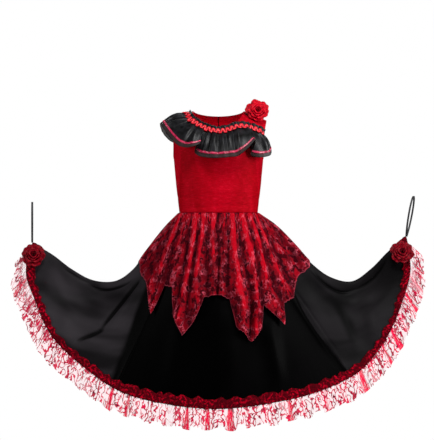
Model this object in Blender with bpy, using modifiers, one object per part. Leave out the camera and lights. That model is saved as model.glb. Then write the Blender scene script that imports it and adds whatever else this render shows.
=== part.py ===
"""Child's flamenco dress, held open by the two hand loops at its hem.

Metres, +Z up. The origin is the middle of the shoulder line, the front faces -Y and +X is the viewer's right.
Angles round the dress are in degrees: 0 at centre front, -90 and 90 at the sides, 180 at centre back.
"""

from collections import namedtuple
from math import cos, pi, radians, sin

import bpy
import numpy as np
from mathutils import Vector

# Cloth and seams
SEAM = 0.0003
CLOTH = 0.0012
THIN_CLOTH = 0.001
SEAM_TURN = 0.00018

# Bodice and the form that fills it
WAIST_DROP = 0.263
WAIST_HALF_WIDTH = 0.1015
WAIST_HALF_DEPTH = 0.076
UNDERARM_DROP = 0.116
CHEST_HALF_WIDTH = 0.117
CHEST_HALF_DEPTH = 0.086
SHOULDER_HALF_WIDTH = 0.125
SHOULDER_SLOPE = 0.42
NECK_HALF_WIDTH = 0.066
NECK_POINT_RISE = 0.004
FRONT_NECK_DROP = 0.046
BACK_NECK_DROP = 0.007
ARMHOLE_SCOOP = 0.004
SECTION_ROUNDNESS = 2.3
SHOULDER_ROUNDNESS = 2.2
NECK_SHARE = 0.5
STRAP_SHARE = 0.66
NECK_CURVE = 1.3
BODICE_ROWS = 10
BODICE_ROW_CURVE = 1.35

# Skirt
SKIRT_LENGTH = 0.505
SKIRT_COLUMNS = 80
SKIRT_ROWS = 8
FRONT_BULGE = 0.014
LEFT_SEAM = -31.5
RIGHT_SEAM = 40.5
BACK_SEAM = 144.0
WAIST_TUCK = 0.0016
SAG_CURVE = 1.6
CREASE_RISE = 0.75

# Overskirt
OVERSKIRT_FOLDS = 18
OVERSKIRT_FOLD_DEPTH = 0.013
OVERSKIRT_COLUMNS = 90
OVERSKIRT_ROWS = 5
OVERSKIRT_TUCK = 0.0015
OVERSKIRT_CLEARANCE = 0.003
OVERSKIRT_CLEARED_BY = 0.25
OVERSKIRT_OPEN_BY = 0.33
OVERSKIRT_WAIST_SPREAD = 0.4
OVERSKIRT_SIDE = 60.0
OVERSKIRT_FLAT_FROM = 82.0
OVERSKIRT_CALM_CURVE = 4
LEFT_SEAM_RISE = 0.0034
RIGHT_SEAM_RISE = 0.0010
SEAM_RISE_CURVE = 1.3

# Hem trims
RUCHE_WIDTH = 0.030
RUCHE_PUFFS = 80
RUCHE_STAND = 0.0030
RUCHE_EDGE_WAVE = 0.12
RUCHE_END = 0.9985
RUCHE_CLOTH = 0.002
LACE_WIDTH = 0.057
LACE_WAVES = 60
LACE_WAVE_DEPTH = 0.010
LACE_OUT = 0.55
LACE_DOWN = 0.80
LACE_END = 3.0
APEX_SPAN = 25.0
APEX_OUT = 0.10
APEX_UP = 0.15
APEX_CALM = 0.6
ROOT_WAVE = 0.25
HEM_NARROWNESS = 0.25

# Neck trims
HEADING_HEIGHT = 0.015
HEADING_WAVES = 16
HEADING_LEAN = 0.003
HEADING_WAVE_DEPTH = 0.002
BRAID_HALF_WIDTH = 0.0065
BRAID_CROWN = 0.0025
BRAID_LOOPS = 24
BRAID_LIFT = 0.0017
BRAID_CLOTH = 0.002
BRAID_SCALLOP = 0.0012
FLOUNCE_FALL = 0.065
HEADING_GAP = 0.0016
RIBBON_WIDTH = 0.005
RIBBON_PLACE = 0.80
RIBBON_STRETCHES = (("left", 0, 9), ("middle", 12, 18), ("right", 20, 23))

# Roses and hand loops
ROSE_RADIUS = 0.031
ROSE_HEIGHT = 0.020
ROSE_PETALS = 5
ROSE_TURNS = 20
ROSE_RINGS = 6
ROSE_BASE = 0.55
ROSE_LOBE = 0.10
ROSE_LOBE_TURN = 1.3
ROSE_RIM = 0.25
ROSE_RIPPLE = 0.0022
ROSE_RIPPLE_TURN = 2.2
LOOP_HEIGHT = 0.106
LOOP_WIDTH = 0.046
LOOP_TAPE = 0.005
LOOP_END_APART = 0.0016
LOOP_STEPS = 25

FormRow = namedtuple("FormRow", "drop half_width half_depth")
FORM = (
    FormRow(WAIST_DROP, WAIST_HALF_WIDTH, WAIST_HALF_DEPTH),
    FormRow(0.187, 0.1105, 0.082),
    FormRow(UNDERARM_DROP, CHEST_HALF_WIDTH, CHEST_HALF_DEPTH),
    FormRow(0.070, 0.128, CHEST_HALF_DEPTH),
    FormRow(0.020, 0.150, CHEST_HALF_DEPTH),
)

PanelRow = namedtuple("PanelRow", "share waist_angle")
PANEL = (PanelRow(0, 0), PanelRow(0.5, 36), PanelRow(0.66, 50), PanelRow(0.83, 68), PanelRow(1, 90))

HemRow = namedtuple("HemRow", "angle left_out left_drop right_out right_drop depth")
HEM = (
    HemRow(0, 0.000, 0.747, 0.000, 0.747, 0.220),
    HemRow(15, 0.128, 0.737, 0.131, 0.734, 0.207),
    HemRow(30, 0.248, 0.709, 0.256, 0.708, 0.174),
    HemRow(45, 0.352, 0.645, 0.364, 0.658, 0.129),
    HemRow(60, 0.438, 0.565, 0.442, 0.565, 0.082),
    HemRow(70, 0.474, 0.492, 0.477, 0.489, 0.054),
    HemRow(80, 0.503, 0.416, 0.501, 0.409, 0.028),
    HemRow(90, 0.490, 0.342, 0.494, 0.326, 0.000),
)

RidgeRow = namedtuple("RidgeRow", "share left_out left_drop right_out right_drop")
RIDGE = (
    RidgeRow(0.000, 0.1015, 0.263, 0.1015, 0.263),
    RidgeRow(0.125, 0.144, 0.309, 0.152, 0.300),
    RidgeRow(0.250, 0.182, 0.360, 0.197, 0.346),
    RidgeRow(0.375, 0.220, 0.412, 0.240, 0.394),
    RidgeRow(0.500, 0.269, 0.444, 0.291, 0.432),
    RidgeRow(0.625, 0.330, 0.441, 0.350, 0.444),
    RidgeRow(0.750, 0.386, 0.411, 0.401, 0.410),
    RidgeRow(0.875, 0.436, 0.373, 0.446, 0.364),
    RidgeRow(1.000, 0.490, 0.342, 0.494, 0.326),
)

WaistRow = namedtuple("WaistRow", "hem_angle waist_angle")
WAIST = (WaistRow(0, 0), WaistRow(20, 42), WaistRow(36, 70), WaistRow(60, 82), WaistRow(90, 90))

CreaseRow = namedtuple("CreaseRow", "angle width depth start end")
CREASES = (
    CreaseRow(-73, 9, 0.010, 0.30, 0.98),
    CreaseRow(-50, 7, 0.007, 0.45, 0.95),
    CreaseRow(-14, 9, 0.006, 0.40, 1.00),
    CreaseRow(17, 8, 0.006, 0.45, 1.00),
    CreaseRow(52, 7, 0.007, 0.40, 0.95),
    CreaseRow(74, 9, 0.010, 0.30, 0.98),
    CreaseRow(106, 9, 0.010, 0.30, 0.98),
    CreaseRow(131, 7, 0.007, 0.40, 0.95),
    CreaseRow(165, 9, 0.006, 0.45, 1.00),
    CreaseRow(-163, 9, 0.006, 0.45, 1.00),
    CreaseRow(-128, 7, 0.007, 0.40, 0.95),
    CreaseRow(-107, 9, 0.010, 0.30, 0.98),
)

PointRow = namedtuple("PointRow", "waist_angle length")
OVERSKIRT_EDGE = (
    PointRow(-180, 0.215),
    PointRow(-160, 0.325),
    PointRow(-140, 0.205),
    PointRow(-120, 0.305),
    PointRow(-104, 0.190),
    PointRow(-88, 0.152),
    PointRow(-80, 0.177),
    PointRow(-60, 0.269),
    PointRow(-56, 0.190),
    PointRow(-44, 0.196),
    PointRow(-40, 0.262),
    PointRow(-28, 0.323),
    PointRow(-16, 0.265),
    PointRow(-12, 0.224),
    PointRow(0, 0.219),
    PointRow(8, 0.227),
    PointRow(16, 0.292),
    PointRow(24, 0.338),
    PointRow(32, 0.300),
    PointRow(40, 0.244),
    PointRow(52, 0.298),
    PointRow(60, 0.238),
    PointRow(72, 0.224),
    PointRow(80, 0.176),
    PointRow(92, 0.187),
    PointRow(120, 0.300),
    PointRow(136, 0.205),
    PointRow(160, 0.335),
    PointRow(180, 0.215),
)

FlounceRow = namedtuple("FlounceRow", "root_x root_drop side edge_x edge_drop edge_y")
FLOUNCE = (
    FlounceRow(-0.086, 0.060, 1, -0.108, 0.080, 0.066),
    FlounceRow(-0.090, 0.038, 1, -0.134, 0.066, 0.056),
    FlounceRow(-0.090, 0.020, 1, -0.150, 0.046, 0.032),
    FlounceRow(-0.087, 0.000, 0, -0.154, 0.029, 0.000),
    FlounceRow(-0.0765, 0.018, -1, -0.148, 0.036, -0.036),
    FlounceRow(-0.068, 0.027, -1, -0.130, 0.062, -0.064),
    FlounceRow(-0.060, 0.033, -1, -0.106, 0.088, -0.090),
    FlounceRow(-0.052, 0.038, -1, -0.083, 0.096, -0.108),
    FlounceRow(-0.045, 0.0425, -1, -0.062, 0.093, -0.113),
    FlounceRow(-0.040, 0.045, -1, -0.047, 0.086, -0.106),
    FlounceRow(-0.0365, 0.046, -1, -0.054, 0.095, -0.096),
    FlounceRow(-0.033, 0.0475, -1, -0.062, 0.106, -0.087),
    FlounceRow(-0.027, 0.0495, -1, -0.050, 0.117, -0.094),
    FlounceRow(-0.017, 0.053, -1, -0.027, 0.122, -0.108),
    FlounceRow(0.000, 0.055, -1, -0.001, 0.123, -0.115),
    FlounceRow(0.020, 0.0525, -1, 0.027, 0.121, -0.115),
    FlounceRow(0.043, 0.0445, -1, 0.051, 0.117, -0.113),
    FlounceRow(0.056, 0.0415, -1, 0.074, 0.099, -0.112),
    FlounceRow(0.066, 0.042, -1, 0.094, 0.077, -0.102),
    FlounceRow(0.074, 0.0435, -1, 0.090, 0.096, -0.090),
    FlounceRow(0.082, 0.045, -1, 0.083, 0.114, -0.079),
    FlounceRow(0.092, 0.0475, -1, 0.107, 0.120, -0.078),
    FlounceRow(0.104, 0.0525, -1, 0.134, 0.113, -0.060),
    FlounceRow(0.114, 0.060, -1, 0.137, 0.094, -0.040),
)
FLOUNCE_COLUMNS_PER_ROW = 3
FLOUNCE_ROWS = 4
FLOUNCE_BULGE = 0.007

RoseRow = namedtuple("RoseRow", "name centre facing")
ROSES = (
    RoseRow("shoulder_rose", (0.1008, -0.0302, 0.0004), (0.10, -0.90, 0.30)),
    RoseRow("rose_left", (-0.4822, -0.0193, -0.3748), (0.02, -0.93, 0.33)),
    RoseRow("rose_right", (0.4792, -0.0195, -0.3677), (-0.02, -0.93, 0.33)),
)

LoopRow = namedtuple("LoopRow", "name foot lean turn")
LOOPS = (
    LoopRow("loop_left", (-0.490, 0.0, -0.3404), 0.0, 3),
    LoopRow("loop_right", (0.494, 0.0, -0.3250), 0.18, 13),
)


def hermite(places, values, at):
    """Smooth curve through rows of values: on each gap a cubic with the mean slopes at its two ends."""
    places = np.asarray(places, float)
    values = np.asarray(values, float).reshape(len(places), -1)
    at = np.clip(np.asarray(at, float), places[0], places[-1])
    slopes = np.gradient(values, places, axis=0)
    gap = np.clip(np.searchsorted(places, at, side="right") - 1, 0, len(places) - 2)
    span = (places[gap + 1] - places[gap])[:, None]
    t = ((at - places[gap]) / span[:, 0])[:, None]
    start = (1 + 2 * t) * (1 - t) ** 2 * values[gap] + t * (1 - t) ** 2 * span * slopes[gap]
    end = t**2 * (3 - 2 * t) * values[gap + 1] - t**2 * (1 - t) * span * slopes[gap + 1]
    return start + end


def normals(grid):
    """Unit normals of a grid of points, from the cross product of its two directions."""
    across = np.gradient(grid, axis=1)
    down = np.gradient(grid, axis=0)
    normal = np.cross(down, across)
    return normal / np.linalg.norm(normal, axis=2, keepdims=True)


def power(value, exponent):
    """Signed power, which keeps the sign of the value."""
    return np.sign(value) * np.abs(value) ** exponent


def form_width(z):
    """Half width of the torso at height z: waist to chest, then out to the shoulders."""
    return np.interp(z, [-row.drop for row in FORM], [row.half_width for row in FORM])


def form_depth(z):
    """Half depth of the torso at height z."""
    return np.interp(z, [-row.drop for row in FORM], [row.half_depth for row in FORM])


def shoulder_height(x):
    """Height of the shoulder line at x: level across the neck, then sloping down to the shoulder tips."""
    return NECK_POINT_RISE - SHOULDER_SLOPE * np.maximum(np.abs(x) - NECK_HALF_WIDTH, 0)


def torso(angle, z):
    """Point of the torso at an angle and a height: a rounded section whose depth closes at the shoulder."""
    turn = np.radians(angle)
    x = form_width(z) * power(np.sin(turn), 2 / SECTION_ROUNDNESS)
    depth = form_depth(z) * power(np.cos(turn), 2 / SECTION_ROUNDNESS)
    rise = np.clip((z + UNDERARM_DROP) / (shoulder_height(x) + UNDERARM_DROP), 0, 1)
    close = (1 - rise**SHOULDER_ROUNDNESS) ** (1 / SHOULDER_ROUNDNESS)
    return np.stack([x, -depth * close, np.broadcast_to(z, x.shape)], axis=-1)


def torso_angle(x, z):
    """Angle round the front of the torso at which its section reaches x."""
    share = np.clip(np.abs(x) / form_width(z), 0, 1)
    return np.sign(x) * np.degrees(np.arcsin(share ** (SECTION_ROUNDNESS / 2)))


def top_edge(share, neck_drop):
    """Top edge of one bodice panel: neckline, shoulder seam, then the armhole to the underarm at share 1."""
    side = np.sign(share)
    share = np.abs(share)
    neck = np.clip(share / NECK_SHARE, 0, 1)
    seam = np.clip((share - NECK_SHARE) / (STRAP_SHARE - NECK_SHARE), 0, 1)
    arm = np.clip((share - STRAP_SHARE) / (1 - STRAP_SHARE), 0, 1)
    x = NECK_HALF_WIDTH * np.sin(neck * pi / 2) + (SHOULDER_HALF_WIDTH - NECK_HALF_WIDTH) * seam
    neck_z = NECK_POINT_RISE - (NECK_POINT_RISE + neck_drop) * np.abs(np.cos(neck * pi / 2)) ** NECK_CURVE
    tip_z = shoulder_height(SHOULDER_HALF_WIDTH)
    arm_z = tip_z + (-UNDERARM_DROP - tip_z) * arm
    z = np.where(share <= NECK_SHARE, neck_z, np.where(share <= STRAP_SHARE, shoulder_height(x), arm_z))
    armhole = SHOULDER_HALF_WIDTH + (CHEST_HALF_WIDTH - SHOULDER_HALF_WIDTH) * arm
    armhole = armhole - ARMHOLE_SCOOP * np.sin(pi * arm)
    x = np.where(share > STRAP_SHARE, armhole, x)
    return side * x, z


def bodice_panel(shares, neck_drop, back):
    """Grid of one bodice panel: each column runs from the waist ring up to the panel's top edge."""
    top_x, top_z = top_edge(shares, neck_drop)
    top_angle = np.where(np.abs(shares) > 0.999, 90 * np.sign(shares), torso_angle(top_x, top_z))
    places, waist_angles = np.array(PANEL).T
    low_angle = np.sign(shares) * np.interp(np.abs(shares), places, waist_angles)
    rise = (1 - (1 - np.linspace(0, 1, BODICE_ROWS)) ** BODICE_ROW_CURVE)[:, None]
    angle = low_angle + (top_angle - low_angle) * rise
    z = -WAIST_DROP + SEAM / 2 + (top_z + WAIST_DROP - SEAM / 2) * rise
    points = torso(angle, z)
    points[..., 1] -= SEAM / 2
    if back:
        points[..., 1] *= -1
    return points[::-1]


def waist(angle):
    """Point of the waist ring below the seam, for an angle round the hem."""
    rows = np.array(WAIST)
    folded = np.where(np.abs(angle) > 90, 180 - np.abs(angle), np.abs(angle))
    turn = hermite(rows[:, 0], rows[:, 1], folded)[:, 0]
    turn = np.radians(np.where(np.abs(angle) > 90, 180 - turn, turn)) * np.where(angle < 0, -1, 1)
    x = WAIST_HALF_WIDTH * power(np.sin(turn), 2 / SECTION_ROUNDNESS)
    y = -WAIST_HALF_DEPTH * power(np.cos(turn), 2 / SECTION_ROUNDNESS)
    return np.stack([x, y, np.full_like(x, -WAIST_DROP - WAIST_TUCK)], axis=1)


def hem_angle(waist_angle):
    """Angle round the hem of the column that starts at an angle round the waist."""
    fine = np.linspace(0, 90, 181)
    rows = np.array(WAIST)
    turn = hermite(rows[:, 0], rows[:, 1], fine)[:, 0]
    folded = np.where(np.abs(waist_angle) > 90, 180 - np.abs(waist_angle), np.abs(waist_angle))
    found = np.interp(folded, turn, fine)
    return np.where(np.abs(waist_angle) > 90, 180 - found, found) * np.where(waist_angle < 0, -1, 1)


def hem(angle):
    """Point of the hem at an angle: a smooth ring through the rows of HEM, mirrored to the back."""
    ring = []
    for row in HEM:
        for half, out, drop in ((-1, row.left_out, row.left_drop), (1, row.right_out, row.right_drop)):
            for turn, depth in ((row.angle, -row.depth), (180 - row.angle, row.depth)):
                ring.append((half * turn, half * out, depth, -drop))
    ring = sorted(set(ring))
    before = [(row[0] - 360,) + row[1:] for row in ring[-4:-1]]
    after = [(row[0] + 360,) + row[1:] for row in ring[1:4]]
    rows = np.array(before + ring + after)
    keep = np.concatenate([[True], np.diff(rows[:, 0]) > 0.01])
    rows = rows[keep]
    return hermite(rows[:, 0], rows[:, 1:], angle)


def ridge(share, half):
    """Line from the waist's side to the hand loop, for the left half (-1) or the right (1)."""
    rows = np.array(RIDGE)
    out, drop = (1, 2) if half < 0 else (3, 4)
    line = hermite(rows[:, 0], rows[:, [out, drop]], share)
    return np.stack([half * line[:, 0], np.zeros(len(share)), -line[:, 1]], axis=1)


def skirt(angles, shares):
    """Grid of the skirt: waist ring and hem blended straight, bulging at the front and sagging at the sides."""
    down = shares[:, None, None]
    top = waist(angles)[None]
    low = hem(angles)[None]
    folded = np.where(np.abs(angles) > 90, 180 - np.abs(angles), np.abs(angles)) / 90
    toward_side = (folded**SAG_CURVE)[None, :, None]
    grid = (1 - down) * top + down * low
    bulge = FRONT_BULGE * np.sin(pi * shares)[:, None, None] * (1 - toward_side)
    level = np.zeros_like(angles)
    grid = grid + bulge * np.stack([level, -np.cos(np.radians(angles)), level], axis=1)
    for half in (-1, 1):
        line = ridge(shares, half)
        sag = line - ((1 - shares[:, None]) * line[0] + shares[:, None] * line[-1])
        grid = grid + np.where((np.sign(angles) == half)[None, :, None], toward_side, 0) * sag[:, None, :]
    outside = normals(grid)
    for crease in CREASES:
        across = np.exp(-(((angles - crease.angle) / crease.width) ** 2))
        along = np.clip((shares - crease.start) / (crease.end - crease.start), 0, 1)
        depth = crease.depth * np.sin(pi * along * CREASE_RISE)
        grid = grid - depth[:, None, None] * across[None, :, None] * outside
    return grid


SKIRT_ANGLES = np.linspace(-180, 180, SKIRT_COLUMNS + 1)
SKIRT_SHARES = np.linspace(0, 1, SKIRT_ROWS + 1)


def skirt_columns(start, end):
    """Column angles of one gore: the shared columns inside it, and its own two seams."""
    inner = SKIRT_ANGLES[(SKIRT_ANGLES > start + 1) & (SKIRT_ANGLES < end - 1)]
    return np.concatenate([[start], inner, [end]])


def narrowed(grid):
    """The grid with its two side edges moved in by half a seam gap."""
    grid = grid.copy()
    for edge, inner in ((0, 1), (-1, -2)):
        step = grid[:, inner] - grid[:, edge]
        grid[:, edge] += step / np.linalg.norm(step, axis=1, keepdims=True) * SEAM_TURN
    return grid


def cloth(name, grid, thickness, material, collection):
    """One cloth piece: the grid of its inner face, given its thickness outwards."""
    rows, columns = grid.shape[:2]
    index = np.arange(rows * columns).reshape(rows, columns)
    faces = np.stack([index[:-1, :-1], index[1:, :-1], index[1:, 1:], index[:-1, 1:]], axis=-1).reshape(-1, 4)
    mesh = bpy.data.meshes.new(name)
    mesh.from_pydata(grid.reshape(-1, 3).tolist(), [], faces.tolist())
    mesh.materials.append(material)
    mesh.shade_smooth()
    piece = bpy.data.objects.new(name, mesh)
    collection.objects.link(piece)
    wall = piece.modifiers.new("Wall", "SOLIDIFY")
    wall.thickness = thickness
    wall.offset = 1.0
    return piece


def finish(name, colour, roughness, metallic=0.0):
    """Material of one piece."""
    material = bpy.data.materials.new(name)
    material.use_nodes = True
    shader = material.node_tree.nodes["Principled BSDF"]
    shader.inputs["Base Color"].default_value = (*colour, 1.0)
    shader.inputs["Roughness"].default_value = roughness
    shader.inputs["Metallic"].default_value = metallic
    return material


def make_bodice(collection):
    """Front and two back panels, with side, shoulder and centre-back seams."""
    middle = (NECK_SHARE + STRAP_SHARE) / 2
    arm = np.concatenate([[middle], np.linspace(STRAP_SHARE, 1, 5)])
    front = np.concatenate([-arm[::-1], np.linspace(-NECK_SHARE, NECK_SHARE, 11), arm])
    red = finish("bodice_front velvet", (0.50, 0.0, 0.02), 0.55)
    cloth("bodice_front", bodice_panel(front, FRONT_NECK_DROP, False), CLOTH, red, collection)
    half = np.concatenate([np.linspace(0, NECK_SHARE, 6), arm])
    for name, side in (("bodice_back_left", -1), ("bodice_back_right", 1)):
        grid = bodice_panel(half, BACK_NECK_DROP, True)
        grid[:, 0, 0] += SEAM_TURN
        grid[..., 0] *= side
        if side > 0:
            grid = grid[:, ::-1]
        red = finish(name + " velvet", (0.50, 0.0, 0.02), 0.55)
        cloth(name, grid, CLOTH, red, collection)


def make_skirt(collection):
    """Front, two side and two back gores of the black satin skirt."""
    gores = (
        ("skirt_back_left", -180, -BACK_SEAM),
        ("skirt_side_left", -BACK_SEAM, LEFT_SEAM),
        ("skirt_front", LEFT_SEAM, RIGHT_SEAM),
        ("skirt_side_right", RIGHT_SEAM, BACK_SEAM),
        ("skirt_back_right", BACK_SEAM, 180),
    )
    for name, start, end in gores:
        satin = finish(name + " satin", (0.006, 0.006, 0.008), 0.38)
        cloth(name, narrowed(skirt(skirt_columns(start, end), SKIRT_SHARES)), CLOTH, satin, collection)


def skirt_reader():
    """Points and outward directions of the skirt's own facets, for the pieces that lie on it."""
    angles = np.unique(np.concatenate([SKIRT_ANGLES, [LEFT_SEAM, RIGHT_SEAM, -BACK_SEAM, BACK_SEAM]]))
    grid = skirt(angles, SKIRT_SHARES)
    outside = normals(grid)
    seam_column = outside[:, :1] + outside[:, -1:]
    outside[:, :1] = outside[:, -1:] = seam_column / np.linalg.norm(seam_column, axis=2, keepdims=True)

    def read(angle, share):
        angle = np.asarray(angle, float)
        share = np.asarray(share, float)
        column = np.interp(angle, angles, np.arange(len(angles)))
        row = np.clip(share, 0, 1) * SKIRT_ROWS
        left = np.clip(column.astype(int), 0, len(angles) - 2)
        upper = np.clip(row.astype(int), 0, SKIRT_ROWS - 1)
        a = (column - left)[..., None]
        b = (row - upper)[..., None]

        def blend(field):
            near = field[upper, left] * (1 - a) + field[upper, left + 1] * a
            far = field[upper + 1, left] * (1 - a) + field[upper + 1, left + 1] * a
            return near * (1 - b) + far * b

        direction = blend(outside)
        return blend(grid), direction / np.linalg.norm(direction, axis=-1, keepdims=True)

    return read


def overskirt_columns():
    """Waist angles of half the overskirt's columns: even in front, and one on each skirt column near the sides."""
    rows = np.array(WAIST)
    side = SKIRT_ANGLES[(SKIRT_ANGLES > OVERSKIRT_SIDE) & (SKIRT_ANGLES <= 90)]
    side = hermite(rows[:, 0], rows[:, 1], side)[:, 0]
    even = np.linspace(-90, 90, OVERSKIRT_COLUMNS // 2 + 1)
    even = even[np.abs(even) < side[0] - 1]
    return np.concatenate([-side[::-1], even, side])


def make_overskirt(collection, on_skirt):
    """Gathered lace overskirt in a front and a back piece, its edge cut into points."""
    edge = np.array(OVERSKIRT_EDGE)
    for name, start in (("overskirt_front", -90), ("overskirt_back", 90)):
        angles = overskirt_columns() + 90 + start
        to_side = np.minimum(np.abs(overskirt_columns()) / OVERSKIRT_FLAT_FROM, 1)
        calm = 1 - to_side**OVERSKIRT_CALM_CURVE
        wrapped = (angles + 180) % 360 - 180
        length = np.interp(wrapped, edge[:, 0], edge[:, 1])
        wrapped = hem_angle(wrapped)
        down = np.linspace(0, 1, OVERSKIRT_ROWS + 1)[:, None]
        share = (OVERSKIRT_TUCK + down * (length - OVERSKIRT_TUCK)) / SKIRT_LENGTH
        angle_grid = np.broadcast_to(wrapped, share.shape)
        points, outside = on_skirt(angle_grid, share)
        fold = 0.5 + 0.5 * np.cos(np.radians(angles - start) * OVERSKIRT_FOLDS)
        opened = np.clip(down / OVERSKIRT_OPEN_BY, 0, 1)
        spread = opened * (OVERSKIRT_WAIST_SPREAD + (1 - OVERSKIRT_WAIST_SPREAD) * down)
        cleared = np.clip(down / OVERSKIRT_CLEARED_BY, 0, 1) * (0.5 + 0.5 * calm)
        clear = CLOTH + 2.5 * SEAM + OVERSKIRT_CLEARANCE * cleared
        rise = np.where(np.sin(np.radians(angles)) < 0, LEFT_SEAM_RISE, RIGHT_SEAM_RISE)
        rise = np.where(np.abs(overskirt_columns()) > 89.9, rise, 0) * down**SEAM_RISE_CURVE
        stand = clear + OVERSKIRT_FOLD_DEPTH * fold * spread * calm + rise
        lace = finish(name + " lace", (0.45, 0.0, 0.03), 0.5)
        cloth(name, narrowed(points + stand[..., None] * outside), THIN_CLOTH, lace, collection)


def outward_level(points):
    """Level direction away from the middle of the skirt, for points along the hem."""
    away = np.stack([points[..., 0] * HEM_NARROWNESS, points[..., 1], np.zeros(points.shape[:-1])], axis=-1)
    return away / np.linalg.norm(away, axis=-1, keepdims=True)


def make_hem_trims(collection, on_skirt):
    """Ruched band on the hem's face and the gathered lace flounce that hangs from the hem's edge."""
    for half, start, end in (("front", -90, 90), ("back", 90, 270)):
        count = RUCHE_PUFFS * 3 // 2
        angles = np.linspace(start, end, count + 1)
        wrapped = (angles + 180) % 360 - 180
        puff = np.cos(np.arange(count + 1) * 2 * pi / 3)
        width = RUCHE_WIDTH * (1 + RUCHE_EDGE_WAVE * puff)
        share = np.stack([1 - width / SKIRT_LENGTH, np.full(count + 1, RUCHE_END)])
        points, outside = on_skirt(np.broadcast_to(wrapped, share.shape), share)
        stand = CLOTH + SEAM + np.stack([RUCHE_STAND * (0.5 + 0.5 * puff), RUCHE_STAND * (0.5 - 0.5 * puff)])
        band = narrowed(points + stand[..., None] * outside)
        velvet = finish("hem_ruche_" + half + " velvet", (0.25, 0.0, 0.02), 0.75)
        cloth("hem_ruche_" + half, band, RUCHE_CLOTH, velvet, collection)

        count = LACE_WAVES * 2
        angles = np.linspace(start + LACE_END, end - LACE_END, count + 1)
        wrapped = (angles + 180) % 360 - 180
        root, outside = on_skirt(wrapped, np.full(count + 1, 1.0))
        side = np.clip(1 - np.minimum(angles - start, end - angles) / APEX_SPAN, 0, 1)
        level = (LACE_OUT + APEX_OUT * side)[:, None] * outward_level(root)
        hang = level - np.array([0, 0, 1]) * (LACE_DOWN - APEX_UP * side)[:, None]
        hang = hang / np.linalg.norm(hang, axis=1, keepdims=True)
        along = np.gradient(root, axis=0)
        across = np.cross(hang, along)
        across = across / np.linalg.norm(across, axis=1, keepdims=True)
        wave = (np.cos(np.arange(count + 1) * pi / 2) * (1 - APEX_CALM * side))[:, None]
        top = root + (SEAM + CLOTH * 0.5) * hang + across * (ROOT_WAVE * LACE_WAVE_DEPTH * wave)
        low = root + LACE_WIDTH * hang + across * (LACE_WAVE_DEPTH * wave)
        strip = np.stack([top, low])
        sides = ("left", "right") if half == "front" else ("right", "left")
        for side_name, cut in zip(sides, (slice(None, LACE_WAVES + 1), slice(LACE_WAVES, None))):
            name = "hem_lace_" + half + "_" + side_name
            lace = finish(name + " lace", (0.55, 0.0, 0.03), 0.5)
            cloth(name, narrowed(strip[:, cut]), THIN_CLOTH, lace, collection)


def over_torso(x, turn):
    """Point of the torso above the underarms: x across, and a turn over the shoulder, front (-) to back (+)."""
    rise = np.abs(np.cos(turn)) ** (2 / SHOULDER_ROUNDNESS)
    z = -UNDERARM_DROP + (shoulder_height(x) + UNDERARM_DROP) * rise
    share = np.clip(np.abs(x) / form_width(z), 0, 1)
    depth = form_depth(z) * (1 - share**SECTION_ROUNDNESS) ** (1 / SECTION_ROUNDNESS)
    return np.stack([x, depth * power(np.sin(turn), 2 / SHOULDER_ROUNDNESS), z], axis=-1)


def flounce_root():
    """Line on the torso along which the flounce is sewn, with the torso's outward direction at each point."""
    x = np.array([row.root_x for row in FLOUNCE])
    z = -np.array([row.root_drop for row in FLOUNCE])
    side = np.array([row.side for row in FLOUNCE])
    rise = np.clip((z + UNDERARM_DROP) / (shoulder_height(x) + UNDERARM_DROP), 0, 1)
    turn = side * np.arccos(rise ** (SHOULDER_ROUNDNESS / 2))
    places = np.arange(len(FLOUNCE))
    at = np.linspace(0, places[-1], places[-1] * FLOUNCE_COLUMNS_PER_ROW + 1)
    x, turn = hermite(places, np.stack([x, turn], axis=1), at).T
    small = 0.001
    across = over_torso(x + small, turn) - over_torso(x - small, turn)
    over = over_torso(x, turn + small) - over_torso(x, turn - small)
    outside = np.cross(across, over)
    return over_torso(x, turn), outside / np.linalg.norm(outside, axis=1, keepdims=True)


def flounce_edge():
    """Lower edge of the flounce, one point for each column of its root."""
    edge = [(row.edge_x, row.edge_y, -row.edge_drop) for row in FLOUNCE]
    places = np.arange(len(FLOUNCE))
    at = np.linspace(0, places[-1], places[-1] * FLOUNCE_COLUMNS_PER_ROW + 1)
    return hermite(places, edge, at)


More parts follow.
